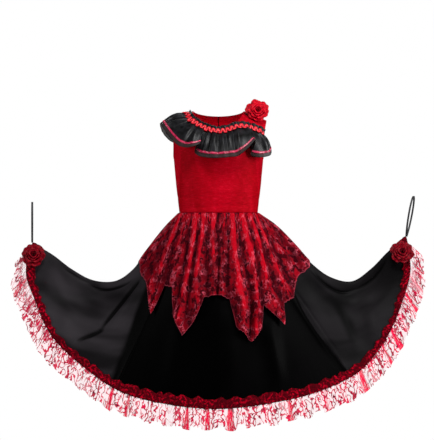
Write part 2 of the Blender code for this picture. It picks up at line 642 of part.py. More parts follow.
def make_flounce(collection):
    """Gathered satin flounce over the left shoulder and the chest, with its heading, braid and ribbon."""
    root, outside = flounce_root()
    edge = flounce_edge()
    start = root + outside * (CLOTH + 2 * SEAM)
    down = np.linspace(0, 1, FLOUNCE_ROWS + 1)[:, None, None]
    bulge = FLOUNCE_BULGE * np.sin(pi * down**0.8) * outside[None]
    grid = start[None] * (1 - down) + edge[None] * down + bulge
    satin = finish("shoulder_flounce satin", (0.008, 0.008, 0.010), 0.35)
    cloth("shoulder_flounce", grid, THIN_CLOTH, satin, collection)

    lift = normals(grid)[-2:] * (THIN_CLOTH + SEAM)
    last = grid[-1] - grid[-2]
    share = RIBBON_PLACE * FLOUNCE_ROWS - (FLOUNCE_ROWS - 1)
    width = RIBBON_WIDTH / np.linalg.norm(last, axis=1, keepdims=True)
    upper = grid[-2] + last * share
    lower = upper + last * width
    for name, first, final in RIBBON_STRETCHES:
        cut = slice(first * FLOUNCE_COLUMNS_PER_ROW, final * FLOUNCE_COLUMNS_PER_ROW + 1)
        satin = finish("flounce_ribbon_" + name + " satin", (0.75, 0.03, 0.10), 0.35)
        strip = np.stack([upper[cut] + lift[0, cut], lower[cut] + lift[1, cut]])
        cloth("flounce_ribbon_" + name, strip, THIN_CLOTH, satin, collection)

    along = np.gradient(start, axis=0)
    along = along / np.linalg.norm(along, axis=1, keepdims=True)
    up = np.cross(outside, along)
    up = up / np.linalg.norm(up, axis=1, keepdims=True)
    wave = np.sin(np.linspace(0, HEADING_WAVES * 2 * pi, len(start)))[:, None]
    low = start + up * HEADING_GAP
    high = start + up * HEADING_HEIGHT + outside * (HEADING_LEAN + HEADING_WAVE_DEPTH * wave)
    frill = finish("neck_heading satin", (0.008, 0.008, 0.010), 0.4)
    cloth("neck_heading", np.stack([high, low]), THIN_CLOTH, frill, collection)

    on_heading = low + (high - low) * BRAID_HALF_WIDTH / HEADING_HEIGHT
    on_flounce = start + (grid[1] - start) * (BRAID_HALF_WIDTH * FLOUNCE_ROWS / FLOUNCE_FALL)
    lift = outside * (THIN_CLOTH + BRAID_LIFT)
    scallop = np.cos(np.linspace(0, BRAID_LOOPS * 2 * pi, len(start)))[:, None] * BRAID_SCALLOP
    crown = start + lift + outside * BRAID_CROWN
    rows = [on_heading + lift + up * scallop, crown, on_flounce + lift - up * scallop]
    gimp = finish("neck_braid gimp", (0.70, 0.02, 0.06), 0.5)
    cloth("neck_braid", np.stack(rows)[:, 1:-1], BRAID_CLOTH, gimp, collection)


def make_rose(name, centre, facing, collection):
    """Fabric rose: a low dome whose rings of petals spiral in to a raised heart."""
    facing = Vector(facing).normalized()
    side = Vector((0, 0, 1)).cross(facing).normalized()
    top = facing.cross(side)
    axes = np.array([side, top, facing])
    angle = np.linspace(0, 2 * pi, ROSE_TURNS, endpoint=False)
    circle = np.stack([np.cos(angle), np.sin(angle)])
    rows = [np.stack([*(ROSE_BASE * ROSE_RADIUS * circle), 0 * angle], axis=1)]
    for ring in range(ROSE_RINGS):
        share = 1 - ring / ROSE_RINGS
        lobes = 1 + ROSE_LOBE * share * np.cos(ROSE_PETALS * angle + ring * ROSE_LOBE_TURN)
        ripple = ROSE_RIPPLE * np.cos(ROSE_PETALS * angle + ring * ROSE_RIPPLE_TURN)
        height = ROSE_HEIGHT * (ROSE_RIM + (1 - ROSE_RIM) * (1 - share**2)) + ripple
        rows.append(np.stack([*(ROSE_RADIUS * share * lobes * circle), height], axis=1))
    points = np.concatenate(rows) @ axes + np.array(centre)
    index = np.arange(len(rows) * ROSE_TURNS).reshape(len(rows), ROSE_TURNS)
    ahead = np.roll(index, -1, axis=1)
    faces = np.stack([index[:-1], ahead[:-1], ahead[1:], index[1:]], axis=-1).reshape(-1, 4).tolist()
    faces.append(index[0, ::-1].tolist())
    faces.append(index[-1].tolist())
    mesh = bpy.data.meshes.new(name)
    mesh.from_pydata(points.tolist(), [], faces)
    mesh.materials.append(finish(name + " satin", (0.35, 0.0, 0.02), 0.5))
    mesh.shade_smooth()
    piece = bpy.data.objects.new(name, mesh)
    collection.objects.link(piece)
    return piece


def make_hand_loop(name, foot, lean, turn, collection):
    """Hand loop: a flat tape bent into a narrow teardrop, with both ends at the foot."""
    share = np.linspace(0, 1, LOOP_STEPS)
    swing = pi * (2 * share - 1)
    width = LOOP_WIDTH / 2 * np.sin(swing) * np.cos(swing / 2) ** 0.5
    rise = LOOP_HEIGHT * (0.5 + 0.5 * np.cos(swing))
    width[0] = -LOOP_END_APART
    width[-1] = LOOP_END_APART
    turn = radians(turn)
    across = np.array([sin(turn), cos(turn), 0])
    tape = np.array([cos(turn), -sin(turn), 0])
    centre = np.array(foot) + width[:, None] * across + rise[:, None] * np.array([lean, 0, 1])
    grid = np.stack([centre + tape * LOOP_TAPE / 2, centre - tape * LOOP_TAPE / 2])
    elastic = finish(name + " elastic", (0.006, 0.006, 0.007), 0.6)
    return cloth(name, grid, CLOTH, elastic, collection)


def main():
    for item in list(bpy.data.objects):
        bpy.data.objects.remove(item)
    collection = bpy.data.collections.new("flamenco_dress")
    bpy.context.scene.collection.children.link(collection)
    make_bodice(collection)
    make_skirt(collection)
    on_skirt = skirt_reader()
    make_overskirt(collection, on_skirt)
    make_hem_trims(collection, on_skirt)
    make_flounce(collection)
    for rose in ROSES:
        make_rose(rose.name, rose.centre, rose.facing, collection)
    for loop in LOOPS:
        make_hand_loop(loop.name, loop.foot, loop.lean, loop.turn, collection)


main()
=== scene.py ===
from collections import namedtuple
from math import cos, pi, radians, sin, tau

import bpy
import numpy as np
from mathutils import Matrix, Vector


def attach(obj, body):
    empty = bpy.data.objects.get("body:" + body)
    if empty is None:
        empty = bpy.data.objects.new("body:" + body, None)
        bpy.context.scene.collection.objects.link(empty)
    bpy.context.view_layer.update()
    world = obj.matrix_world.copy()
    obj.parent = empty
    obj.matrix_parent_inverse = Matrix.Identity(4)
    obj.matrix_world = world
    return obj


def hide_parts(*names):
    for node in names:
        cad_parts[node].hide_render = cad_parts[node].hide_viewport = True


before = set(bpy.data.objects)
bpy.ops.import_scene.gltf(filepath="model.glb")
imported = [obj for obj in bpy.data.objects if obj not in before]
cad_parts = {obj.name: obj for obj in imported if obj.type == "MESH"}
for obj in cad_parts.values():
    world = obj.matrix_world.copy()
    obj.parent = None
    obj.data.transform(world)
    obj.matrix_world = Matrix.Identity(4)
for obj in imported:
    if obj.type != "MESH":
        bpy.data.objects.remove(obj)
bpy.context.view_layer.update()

# The dress is photographed alone, filled out on a form that doesn't show, before plain
# white. A wide pale floor lies below the hem, tall softboxes stand at both sides and a
# weaker one hangs over the front.
CAMERA_DISTANCE = 3.5
CAMERA_ACROSS = -0.004
CAMERA_DROP = 0.281
FRAME_WIDTH = 1.1414
SENSOR_WIDTH = 36.0
FLOOR_DROP = 1.02
FLOOR_RADIUS = 0.92
ROOM_LIGHT = 0.06
FLOOR_GLOW = 0.3

scene = bpy.context.scene
scene.view_settings.view_transform = "Standard"

camera_data = bpy.data.cameras.new("camera")
camera_data.sensor_fit = "HORIZONTAL"
camera_data.sensor_width = SENSOR_WIDTH
camera_data.lens = SENSOR_WIDTH * CAMERA_DISTANCE / FRAME_WIDTH
camera = bpy.data.objects.new("camera", camera_data)
camera.location = (CAMERA_ACROSS, -CAMERA_DISTANCE, -CAMERA_DROP)
camera.rotation_euler = (radians(90), 0, 0)
scene.collection.objects.link(camera)
scene.camera = camera

Softbox = namedtuple("Softbox", "name place aim width height watts")
SOFTBOXES = (
    Softbox("left softbox", (-2.8, -1.35, 0.3), (-0.1, 0, -0.35), 0.9, 2.0, 60),
    Softbox("right softbox", (2.75, -1.4, 0.4), (0.1, 0, -0.35), 0.9, 2.0, 118),
    Softbox("front softbox", (0.4, -1.9, 2.5), (0, 0, -0.2), 1.5, 0.9, 98),
    Softbox("back softbox", (-0.6, 3.0, 1.5), (0, 0, -0.3), 2.2, 1.4, 40),
)
for box in SOFTBOXES:
    light = bpy.data.lights.new(box.name, "AREA")
    light.shape = "RECTANGLE"
    light.size = box.width
    light.size_y = box.height
    light.energy = box.watts
    lamp = bpy.data.objects.new(box.name, light)
    lamp.location = box.place
    lamp.rotation_euler = (Vector(box.aim) - Vector(box.place)).to_track_quat("-Z", "Y").to_euler()
    scene.collection.objects.link(lamp)

world = bpy.data.worlds.new("white room")
world.use_nodes = True
scene.world = world
background = world.node_tree.nodes["Background"]
background.inputs["Color"].default_value = (1.0, 1.0, 1.0, 1.0)
seen = world.node_tree.nodes.new("ShaderNodeLightPath")
strength = world.node_tree.nodes.new("ShaderNodeMapRange")
strength.inputs["To Min"].default_value = ROOM_LIGHT
strength.inputs["To Max"].default_value = 1.0
world.node_tree.links.new(seen.outputs["Is Camera Ray"], strength.inputs["Value"])
world.node_tree.links.new(strength.outputs["Result"], background.inputs["Strength"])

floor_mesh = bpy.data.meshes.new("floor")
rim_turns = np.linspace(0, tau, 96, endpoint=False)
floor_rim = [(FLOOR_RADIUS * cos(turn), FLOOR_RADIUS * sin(turn), -FLOOR_DROP) for turn in rim_turns]
floor_mesh.from_pydata(floor_rim, [], [tuple(range(len(floor_rim)))])
floor_paint = bpy.data.materials.new("pale floor")
floor_paint.use_nodes = True
floor_shader = floor_paint.node_tree.nodes["Principled BSDF"]
floor_shader.inputs["Base Color"].default_value = (0.9, 0.9, 0.9, 1.0)
floor_shader.inputs["Roughness"].default_value = 0.9
floor_shader.inputs["Specular IOR Level"].default_value = 0.0
floor_shader.inputs["Emission Color"].default_value = (1.0, 1.0, 1.0, 1.0)
floor_shader.inputs["Emission Strength"].default_value = FLOOR_GLOW
floor_mesh.materials.append(floor_paint)
floor = bpy.data.objects.new("floor", floor_mesh)
scene.collection.objects.link(floor)

# Bodice: a front and two backs of red stretch velvet printed with short foil dashes. It
# has no sleeves and a wide boat neck. The panels are sewn at the sides, the shoulders and
# the centre back, and the neck and armhole edges are turned in and stitched.
SEAM = 0.0003
CLOTH = 0.0012
WAIST_DROP = 0.263
WAIST_HALF_WIDTH = 0.1015
WAIST_HALF_DEPTH = 0.076
UNDERARM_DROP = 0.116
CHEST_HALF_WIDTH = 0.117
CHEST_HALF_DEPTH = 0.086
SHOULDER_HALF_WIDTH = 0.125
SHOULDER_SLOPE = 0.42
NECK_HALF_WIDTH = 0.066
NECK_POINT_RISE = 0.004
FRONT_NECK_DROP = 0.046
BACK_NECK_DROP = 0.007
ARMHOLE_SCOOP = 0.004
SECTION_ROUNDNESS = 2.3
SHOULDER_ROUNDNESS = 2.2
NECK_SHARE = 0.5
STRAP_SHARE = 0.66
NECK_CURVE = 1.3
BODICE_ROWS = 96
BODICE_ROW_CURVE = 1.35
BODICE_COLUMNS = 140
TURNED_EDGE = 0.007
TURNED_THICKNESS = 0.0006
STITCH_DIP = 0.0004
STITCH_SPREAD = 0.0010
SEAM_DIP = 0.0006
WAIST_DIP = 0.0009
SEAM_SPREAD = 0.0016
WAIST_CALM = 0.004
TINY = 1e-9

FormRow = namedtuple("FormRow", "drop half_width half_depth")
FORM = (
    FormRow(WAIST_DROP, WAIST_HALF_WIDTH, WAIST_HALF_DEPTH),
    FormRow(0.187, 0.1105, 0.082),
    FormRow(UNDERARM_DROP, CHEST_HALF_WIDTH, CHEST_HALF_DEPTH),
    FormRow(0.070, 0.128, CHEST_HALF_DEPTH),
    FormRow(0.020, 0.150, CHEST_HALF_DEPTH),
)

# Where a panel's columns start: share of its half width, and angle round the waist.
PANEL = ((0, 0), (0.5, 36), (0.66, 50), (0.83, 68), (1, 90))

WrinkleRow = namedtuple("WrinkleRow", "angle drop half_span height depth")
WRINKLES = [WrinkleRow(*row) for row in (
    (-30, 0.249, 34, 0.0045, 0.0011), (22, 0.243, 40, 0.0050, 0.0012), (62, 0.228, 26, 0.0060, 0.0014),
    (-64, 0.222, 24, 0.0060, 0.0014), (8, 0.206, 30, 0.0070, -0.0009), (-58, 0.176, 20, 0.0070, 0.0010),
    (60, 0.168, 22, 0.0070, 0.0010),
)]


class Shade:
    """One socket of a material's node tree. Sums on it add Math nodes, and make adds any other node."""

    def __init__(self, tree, socket=None):
        self.tree = tree
        self.socket = socket

    def make(self, kind, settings=None, inputs=None, output=0):
        """Adds a node, sets its properties, fills its sockets with values or links, and gives one output."""
        node = self.tree.nodes.new(kind)
        for name, value in (settings or {}).items():
            setattr(node, name, value)
        for name, value in (inputs or {}).items():
            if isinstance(value, Shade):
                self.tree.links.new(value.socket, node.inputs[name])
            else:
                node.inputs[name].default_value = value
        return Shade(self.tree, node.outputs[output])

    def sum(self, operation, *others):
        """Math node on this number and others."""
        values = dict(enumerate((self, *others)))
        return self.make("ShaderNodeMath", {"operation": operation}, values)

    def __add__(self, other):
        return self.sum("ADD", other)

    def __sub__(self, other):
        return self.sum("SUBTRACT", other)

    def __rsub__(self, other):
        return self.make("ShaderNodeMath", {"operation": "SUBTRACT"}, {0: other, 1: self})

    def __mul__(self, other):
        return self.sum("MULTIPLY", other)

    def __or__(self, other):
        return self.sum("MAXIMUM", other)

    __radd__ = __add__
    __rmul__ = __mul__
    __ror__ = __or__

    def part(self, axis):
        """One number of this vector or colour."""
        return self.make("ShaderNodeSeparateXYZ", None, {"Vector": self}, axis)

    def step(self, low, high):
        """0 below low, 1 above high and a smooth rise between; falls instead where low is above high."""
        limits = {"Value": self, "From Min": low, "From Max": high}
        return self.make("ShaderNodeMapRange", {"interpolation_type": "SMOOTHSTEP"}, limits)

    def blend(self, without, full):
        """Colour that goes from without to full as this value goes from 0 to 1."""
        colours = {0: self, 6: without, 7: full}
        return self.make("ShaderNodeMix", {"data_type": "RGBA"}, colours, 2)

    def scaled(self, x, y):
        """This vector with its first two numbers multiplied."""
        return self.make("ShaderNodeVectorMath", {"operation": "MULTIPLY"}, {0: self, 1: (x, y, 1.0)})

    def noise(self, scale, detail=2.0):
        """Noise over this vector, with about that many spots to a unit."""
        return self.make("ShaderNodeTexNoise", None, {"Vector": self, "Scale": scale, "Detail": detail})

    def grain(self, width, height, detail=1.0):
        """Noise whose spots are about that many metres wide and high."""
        return self.scaled(1 / width, 1 / height).noise(1.0, detail)

    def cells(self, feature, randomness, output):
        """One output of a pattern of cells over this vector."""
        settings = {"voronoi_dimensions": "2D", "feature": feature}
        inputs = {"Vector": self, "Randomness": randomness, "Scale": 1.0}
        return self.make("ShaderNodeTexVoronoi", settings, inputs, output)

    def net(self, pitch, outer, inner):
        """1 on the threads of a net of that many metres a mesh, and 0 in its holes."""
        threads = self.scaled(1 / pitch, 1 / pitch).cells("DISTANCE_TO_EDGE", 0.35, "Distance")
        return threads.step(outer, inner)

    def near(self, value, outer, inner):
        """1 where this number is within inner of the value, and 0 where it is past outer."""
        return (self - value).sum("ABSOLUTE").step(outer, inner)


def finish(name, **plain):
    """New material with plain values on its shader's sockets: it, its cloth coordinates and its shader."""
    material = bpy.data.materials.new(name)
    material.use_nodes = True
    shader = material.node_tree.nodes["Principled BSDF"]
    for socket, value in plain.items():
        shader.inputs[socket.replace("_", " ")].default_value = value
    start = Shade(material.node_tree)
    return material, start.make("ShaderNodeUVMap", {"uv_map": "cloth"}), shader


def feed(shader, socket, shade):
    """Links a value or colour to one of the shader's sockets."""
    shade.tree.links.new(shade.socket, shader.inputs[socket])


def bump(shader, height, distance):
    """Links a height to the shader's normal, as relief of that many metres."""
    feed(shader, "Normal", height.make("ShaderNodeBump", None, {"Height": height, "Distance": distance}))


def mark(shade, name):
    """A number that the mesh holds for each of its points."""
    return shade.make("ShaderNodeAttribute", {"attribute_name": name}, None, "Fac")


def grid_lengths(grid):
    """Metres along the cloth for each point: across from the middle column, and down from the first row."""
    across = np.linalg.norm(np.diff(grid, axis=1), axis=2)
    across = np.concatenate([np.zeros((len(grid), 1)), np.cumsum(across, axis=1)], axis=1)
    down = np.linalg.norm(np.diff(grid, axis=0), axis=2)
    down = np.concatenate([np.zeros((1, grid.shape[1])), np.cumsum(down, axis=0)], axis=0)
    return across, down


def quad_widths(grid):
    """Width of each quad of a grid, square to its column, and its area."""
    side = grid[:-1, 1:] - grid[:-1, :-1]
    fall = grid[1:, :-1] - grid[:-1, :-1]
    area = np.linalg.norm(np.cross(side, fall), axis=2)
    return area / np.maximum(np.linalg.norm(fall, axis=2), TINY), area


def surface(name, kind, grids, flats, material):
    """One piece from one or more grids of points. Its UV map holds each point's place on the flat cloth."""
    faces = []
    count = 0
    for grid in grids:
        rows, columns = grid.shape[:2]
        index = count + np.arange(rows * columns).reshape(rows, columns)
        quads = np.stack([index[:-1, :-1], index[1:, :-1], index[1:, 1:], index[:-1, 1:]], axis=-1)
        faces.append(quads.reshape(-1, 4))
        count += rows * columns
    points = np.concatenate([grid.reshape(-1, 3) for grid in grids])
    flat = np.concatenate([places.reshape(-1, 2) for places in flats])
    mesh = bpy.data.meshes.new(name)
    mesh.from_pydata(points.tolist(), [], np.concatenate(faces).tolist())
    corners = np.empty(len(mesh.loops), np.int32)
    mesh.loops.foreach_get("vertex_index", corners)
    mesh.uv_layers.new(name="cloth").data.foreach_set("uv", flat[corners].ravel())
    mesh.materials.append(material)
    mesh.shade_smooth()
    piece = bpy.data.objects.new(name + kind, mesh)
    scene.collection.objects.link(piece)
    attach(piece, "root")
    return piece


def cloth(name, grids, wall, material, marks=None, offset=1.0, gathered=False, inside=None):
    """Sheet of cloth from its grids, thickened to a wall, with marks that its material reads at each point.
    A gathered strip is a rectangle when flat, so all its rows are as wide as its widest. The side that faces
    the body may have its own material."""
    flats = []
    for grid in grids:
        across, down = grid_lengths(grid)
        if gathered:
            widths = quad_widths(grid)[0]
            widest = np.cumsum(widths[np.argmax(widths.sum(axis=1))])
            across = np.broadcast_to(np.concatenate([[0], widest]), across.shape)
        middle = across[:, grid.shape[1] // 2, None]
        flats.append(np.stack([across - middle, down], axis=-1))
    piece = surface(name, "_cloth", grids, flats, material)
    for key, values in (marks or {}).items():
        attribute = piece.data.attributes.new(key, "FLOAT", "POINT")
        attribute.data.foreach_set("value", np.concatenate([np.ravel(value) for value in values]))
    thickness = piece.modifiers.new("wall", "SOLIDIFY")
    thickness.thickness = wall
    thickness.offset = offset
    if inside:
        piece.data.materials.append(inside)
        thickness.material_offset = 1
    return piece


def cut(grid):
    """Width, length and area of the flat cloth of a grid: its widest row, longest column and all quads."""
    widths, areas = quad_widths(grid)
    return (float(widths.sum(axis=1).max()), float(grid_lengths(grid)[1][-1].max())), float(areas.sum())


def sew(grid, nodes):
    """Hides the CAD nodes that the piece stands for, and works out the size of the sheet its grid was cut to,
    which is not used further.
    """
    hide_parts(*nodes)
    flat, area = cut(grid)


def unit(vectors):
    """Vectors of length 1 with the directions of these."""
    return vectors / np.maximum(np.linalg.norm(vectors, axis=-1, keepdims=True), TINY)


def normals(grid):
    """Unit normals of a grid of points, from the cross product of its two directions."""
    return unit(np.cross(np.gradient(grid, axis=0), np.gradient(grid, axis=1)))


def ramp(value):
    """The value, kept from 0 to 1."""
    return np.clip(value, 0, 1)


def bell(distance, span):
    """1 at distance 0, falling smoothly to 0.37 at the span and to nearly 0 at twice the span."""
    return np.exp(-((distance / span) ** 2))


def power(value, exponent):
    """Signed power, which keeps the sign of the value."""
    return np.sign(value) * np.abs(value) ** exponent


def form_width(z):
    """Half width of the torso at height z."""
    return np.interp(z, [-row.drop for row in FORM], [row.half_width for row in FORM])


def form_depth(z):
    """Half depth of the torso at height z."""
    return np.interp(z, [-row.drop for row in FORM], [row.half_depth for row in FORM])


def shoulder_height(x):
    """Height of the shoulder line at x: level across the neck, then sloping down to the shoulder tips."""
    return NECK_POINT_RISE - SHOULDER_SLOPE * np.maximum(np.abs(x) - NECK_HALF_WIDTH, 0)


def torso(angle, z):
    """Point of the torso at an angle and a height: a rounded section whose depth closes at the shoulder."""
    turn = np.radians(angle)
    x = form_width(z) * power(np.sin(turn), 2 / SECTION_ROUNDNESS)
    depth = form_depth(z) * power(np.cos(turn), 2 / SECTION_ROUNDNESS)
    rise = ramp((z + UNDERARM_DROP) / (shoulder_height(x) + UNDERARM_DROP))
    close = (1 - rise**SHOULDER_ROUNDNESS) ** (1 / SHOULDER_ROUNDNESS)
    return np.stack([x, -depth * close, np.broadcast_to(z, x.shape)], axis=-1)


def torso_angle(x, z):
    """Angle round the front of the torso at which its section reaches x."""
    share = ramp(np.abs(x) / form_width(z))
    return np.sign(x) * np.degrees(np.arcsin(share ** (SECTION_ROUNDNESS / 2)))


def top_edge(share, neck_drop):
    """Top edge of one bodice panel: neckline, shoulder seam, then the armhole to the underarm at share 1."""
    side = np.sign(share)
    share = np.abs(share)
    neck = ramp(share / NECK_SHARE)
    seam = ramp((share - NECK_SHARE) / (STRAP_SHARE - NECK_SHARE))
    arm = ramp((share - STRAP_SHARE) / (1 - STRAP_SHARE))
    x = NECK_HALF_WIDTH * np.sin(neck * pi / 2) + (SHOULDER_HALF_WIDTH - NECK_HALF_WIDTH) * seam
    neck_z = NECK_POINT_RISE - (NECK_POINT_RISE + neck_drop) * np.abs(np.cos(neck * pi / 2)) ** NECK_CURVE
    tip_z = shoulder_height(SHOULDER_HALF_WIDTH)
    arm_z = tip_z + (-UNDERARM_DROP - tip_z) * arm
    z = np.where(share <= NECK_SHARE, neck_z, np.where(share <= STRAP_SHARE, shoulder_height(x), arm_z))
    armhole = SHOULDER_HALF_WIDTH + (CHEST_HALF_WIDTH - SHOULDER_HALF_WIDTH) * arm
    armhole = armhole - ARMHOLE_SCOOP * np.sin(pi * arm)
    x = np.where(share > STRAP_SHARE, armhole, x)
    return side * x, z


def bodice_panel(shares, neck_drop, back):
    """Grid of one bodice panel, top to waist, and each point's distance from the top edge.
    Each column runs from the waist ring to the panel's top edge. The turned edge stands out a little, with a
    dip at its stitches, and each wrinkle is a soft trough that fades with the square of the distance."""
    top_x, top_z = top_edge(shares, neck_drop)
    top_angle = np.where(np.abs(shares) > 0.999, 90 * np.sign(shares), torso_angle(top_x, top_z))
    places, waist_angles = np.array(PANEL).T
    low_angle = np.sign(shares) * np.interp(np.abs(shares), places, waist_angles)
    rise = (1 - (1 - np.linspace(0, 1, BODICE_ROWS)) ** BODICE_ROW_CURVE)[:, None]
    angle = low_angle + (top_angle - low_angle) * rise
    z = -WAIST_DROP + (top_z + WAIST_DROP) * rise
    points = torso(angle, z)
    if back:
        points[..., 1] *= -1
    points = points[::-1]
    angle = angle[::-1]
    z = z[::-1]
    below = grid_lengths(points)[1]
    out = TURNED_THICKNESS * ramp((TURNED_EDGE - below) / STITCH_SPREAD)
    out = out - STITCH_DIP * bell(below - TURNED_EDGE, STITCH_SPREAD)
    for row in WRINKLES:
        centre = row.angle if not back else -row.angle
        fade = ((angle - centre) / row.half_span) ** 2 + ((z + row.drop) / row.height) ** 2
        out = out - row.depth * np.exp(-fade)
    across = grid_lengths(points)[0]
    seam = across[:, -1:] - across if not back else np.minimum(across, across[:, -1:] - across)
    seam = np.minimum(seam, across)
    out = out * ramp((z + WAIST_DROP) / WAIST_CALM) - SEAM_DIP * bell(seam, SEAM_SPREAD)
    out = out - WAIST_DIP * bell(z + WAIST_DROP, SEAM_SPREAD)
    outside = normals(points) * (-1 if back else 1)
    return points + out[..., None] * outside, below, seam


def velvet_finish():
    """Red stretch velvet: fine ribs across, darker worn patches, and short foil dashes in rows."""
    material, uv, shader = finish("red foil velvet", Specular_IOR_Level=0.02)
    height = uv.make("ShaderNodeTexCoord", None, None, "Object").part("Z")
    level = uv.make("ShaderNodeCombineXYZ", None, {"X": uv.part("X"), "Y": height})
    dash = level.scaled(1 / 0.0034, 1 / 0.0011)
    chosen = dash.cells("F1", 0.9, "Color")
    picked = chosen.part("X").step(0.54, 0.62)
    near = dash.cells("F1", 0.9, "Distance").step(0.42, 0.25)
    foil = picked * near
    worn = level.grain(0.016, 0.0026, 2.0).step(0.42, 0.70)
    patch = uv.noise(9.0, 1.0).step(0.30, 0.72)
    pile = (patch * 0.58 + worn * 0.42).blend((0.25, 0.0, 0.003, 1), (0.45, 0.0, 0.009, 1))
    stitched = mark(uv, "seam").step(0.0016, 0.0006) | mark(uv, "below").step(0.0014, 0.0004)
    pile = (stitched * 0.75).blend(pile, (0.08, 0.0, 0.004, 1))
    foil = foil * (0.10 + patch * 0.45) * (0.3 + worn * 0.7)
    feed(shader, "Base Color", (foil * 0.75).blend(pile, (0.98, 0.03, 0.08, 1)))
    feed(shader, "Metallic", foil * 0.5)
    feed(shader, "Roughness", 0.62 - foil * 0.27)
    rib = (height * (tau / 0.0013)).sum("SINE")
    bump(shader, rib * 0.5 + uv.noise(900.0) + foil * 0.6, 0.00012)
    return material


def knit_finish():
    """Plain knitted back of the velvet: fine courses of loops, brighter than the pile."""
    material, uv, shader = finish("red knit", Roughness=0.8, Specular_IOR_Level=0.02)
    course = (uv.part("Y") * (tau / 0.0011)).sum("SINE")
    wale = (uv.part("X") * (tau / 0.0009)).sum("SINE")
    loops = (course * 0.2 + 0.5).blend((0.66, 0.0, 0.016, 1), (0.86, 0.0, 0.022, 1))
    turned_in = mark(uv, "seam").step(0.0026, 0.0010) * 0.85
    feed(shader, "Base Color", turned_in.blend(loops, (0.06, 0.0, 0.003, 1)))
    bump(shader, course + wale, 0.00012)
    return material


velvet = velvet_finish()
knit = knit_finish()
near_seam = np.array([0.006, 0.013, 0.022])
near_side = 1 - near_seam
front_shares = np.linspace(-1, 1, BODICE_COLUMNS + 1)
front_shares = np.unique(np.concatenate([front_shares, [-STRAP_SHARE, STRAP_SHARE], near_side, -near_side]))
front_grid, below, seam = bodice_panel(front_shares, FRONT_NECK_DROP, False)
marks = {"below": below, "seam": seam}
piece = cloth("bodice_front", [front_grid], CLOTH, velvet, marks, inside=knit)
sew(front_grid, ["bodice_front"])
half_shares = np.linspace(0, 1, BODICE_COLUMNS // 2 + 1)
half_shares = np.unique(np.concatenate([half_shares, [STRAP_SHARE], near_seam, near_side]))
for name, half in (("bodice_back_left", -1), ("bodice_back_right", 1)):
    back_grid, below, seam = bodice_panel(half_shares, BACK_NECK_DROP, True)
    back_grid[..., 0] *= half
    if half > 0:
        back_grid = back_grid[:, ::-1]
        below = below[:, ::-1]
        seam = seam[:, ::-1]
    marks = {"below": below, "seam": seam}
    piece = cloth(name, [back_grid], CLOTH, velvet, marks, inside=knit)
    sew(back_grid, [name])

# Skirt: five gores of black satin, one in front, one round each side and two behind. The
# cloth hangs from the waist and is held out by the hand loops, so that its sides sag in a
# swag between waist and loop, with soft pulls and rolls below the swags.
SKIRT_LENGTH = 0.505
SKIRT_COLUMNS = 400
SKIRT_ROWS = 80
FRONT_BULGE = 0.014
LEFT_SEAM = -31.5
RIGHT_SEAM = 40.5
BACK_SEAM = 144.0
SKIRT_SEAMS = np.array([-180, -BACK_SEAM, LEFT_SEAM, RIGHT_SEAM, BACK_SEAM, 180])
SEAM_DIP_SPAN = 0.14
SEAM_ROLL_AT = 0.4
SEAM_ROLL_SPAN = 0.18
SEAM_COLUMNS = np.linspace(-0.6, 0.6, 7)
SAG_CURVE = 1.6
CREASE_RISE = 0.75
PUCKERS = 150
PUCKER_DEPTH = 0.0007
PUCKER_REACH = 0.035

HemRow = namedtuple("HemRow", "angle left_out left_drop right_out right_drop depth")
HEM = [HemRow(*row) for row in (
    (0, 0.000, 0.747, 0.000, 0.747, 0.220), (15, 0.128, 0.737, 0.131, 0.734, 0.207),
    (30, 0.248, 0.709, 0.256, 0.708, 0.174), (45, 0.352, 0.645, 0.364, 0.658, 0.129),
    (60, 0.438, 0.565, 0.442, 0.565, 0.082), (70, 0.474, 0.492, 0.477, 0.489, 0.054),
    (80, 0.503, 0.416, 0.501, 0.409, 0.028), (90, 0.490, 0.342, 0.494, 0.326, 0.000),
)]

RidgeRow = namedtuple("RidgeRow", "share left_out left_drop right_out right_drop")
RIDGE = [RidgeRow(*row) for row in (
    (0.000, 0.1015, 0.263, 0.1015, 0.263), (0.125, 0.144, 0.309, 0.152, 0.300),
    (0.250, 0.182, 0.360, 0.197, 0.346), (0.375, 0.220, 0.412, 0.240, 0.394),
    (0.500, 0.269, 0.444, 0.291, 0.432), (0.625, 0.330, 0.441, 0.350, 0.444),
    (0.750, 0.386, 0.411, 0.401, 0.410), (0.875, 0.436, 0.373, 0.446, 0.364),
    (1.000, 0.490, 0.342, 0.494, 0.326),
)]

# Where the columns start and end: angle round the hem, and angle round the waist.
WAIST = ((0, 0), (20, 42), (36, 70), (60, 82), (90, 90))

FoldRow = namedtuple("FoldRow", "angle width depth start end")
FOLDS = [FoldRow(*row) for row in (
    (-73, 9, 0.010, 0.30, 0.98), (-50, 7, 0.007, 0.45, 0.95), (-14, 9, 0.006, 0.40, 1.00),
    (17, 8, 0.006, 0.45, 1.00), (52, 7, 0.007, 0.40, 0.95), (74, 9, 0.010, 0.30, 0.98),
    (106, 9, 0.010, 0.30, 0.98), (131, 7, 0.007, 0.40, 0.95), (165, 9, 0.006, 0.45, 1.00),
    (-163, 9, 0.006, 0.45, 1.00), (-128, 7, 0.007, 0.40, 0.95), (-107, 9, 0.010, 0.30, 0.98),
)]

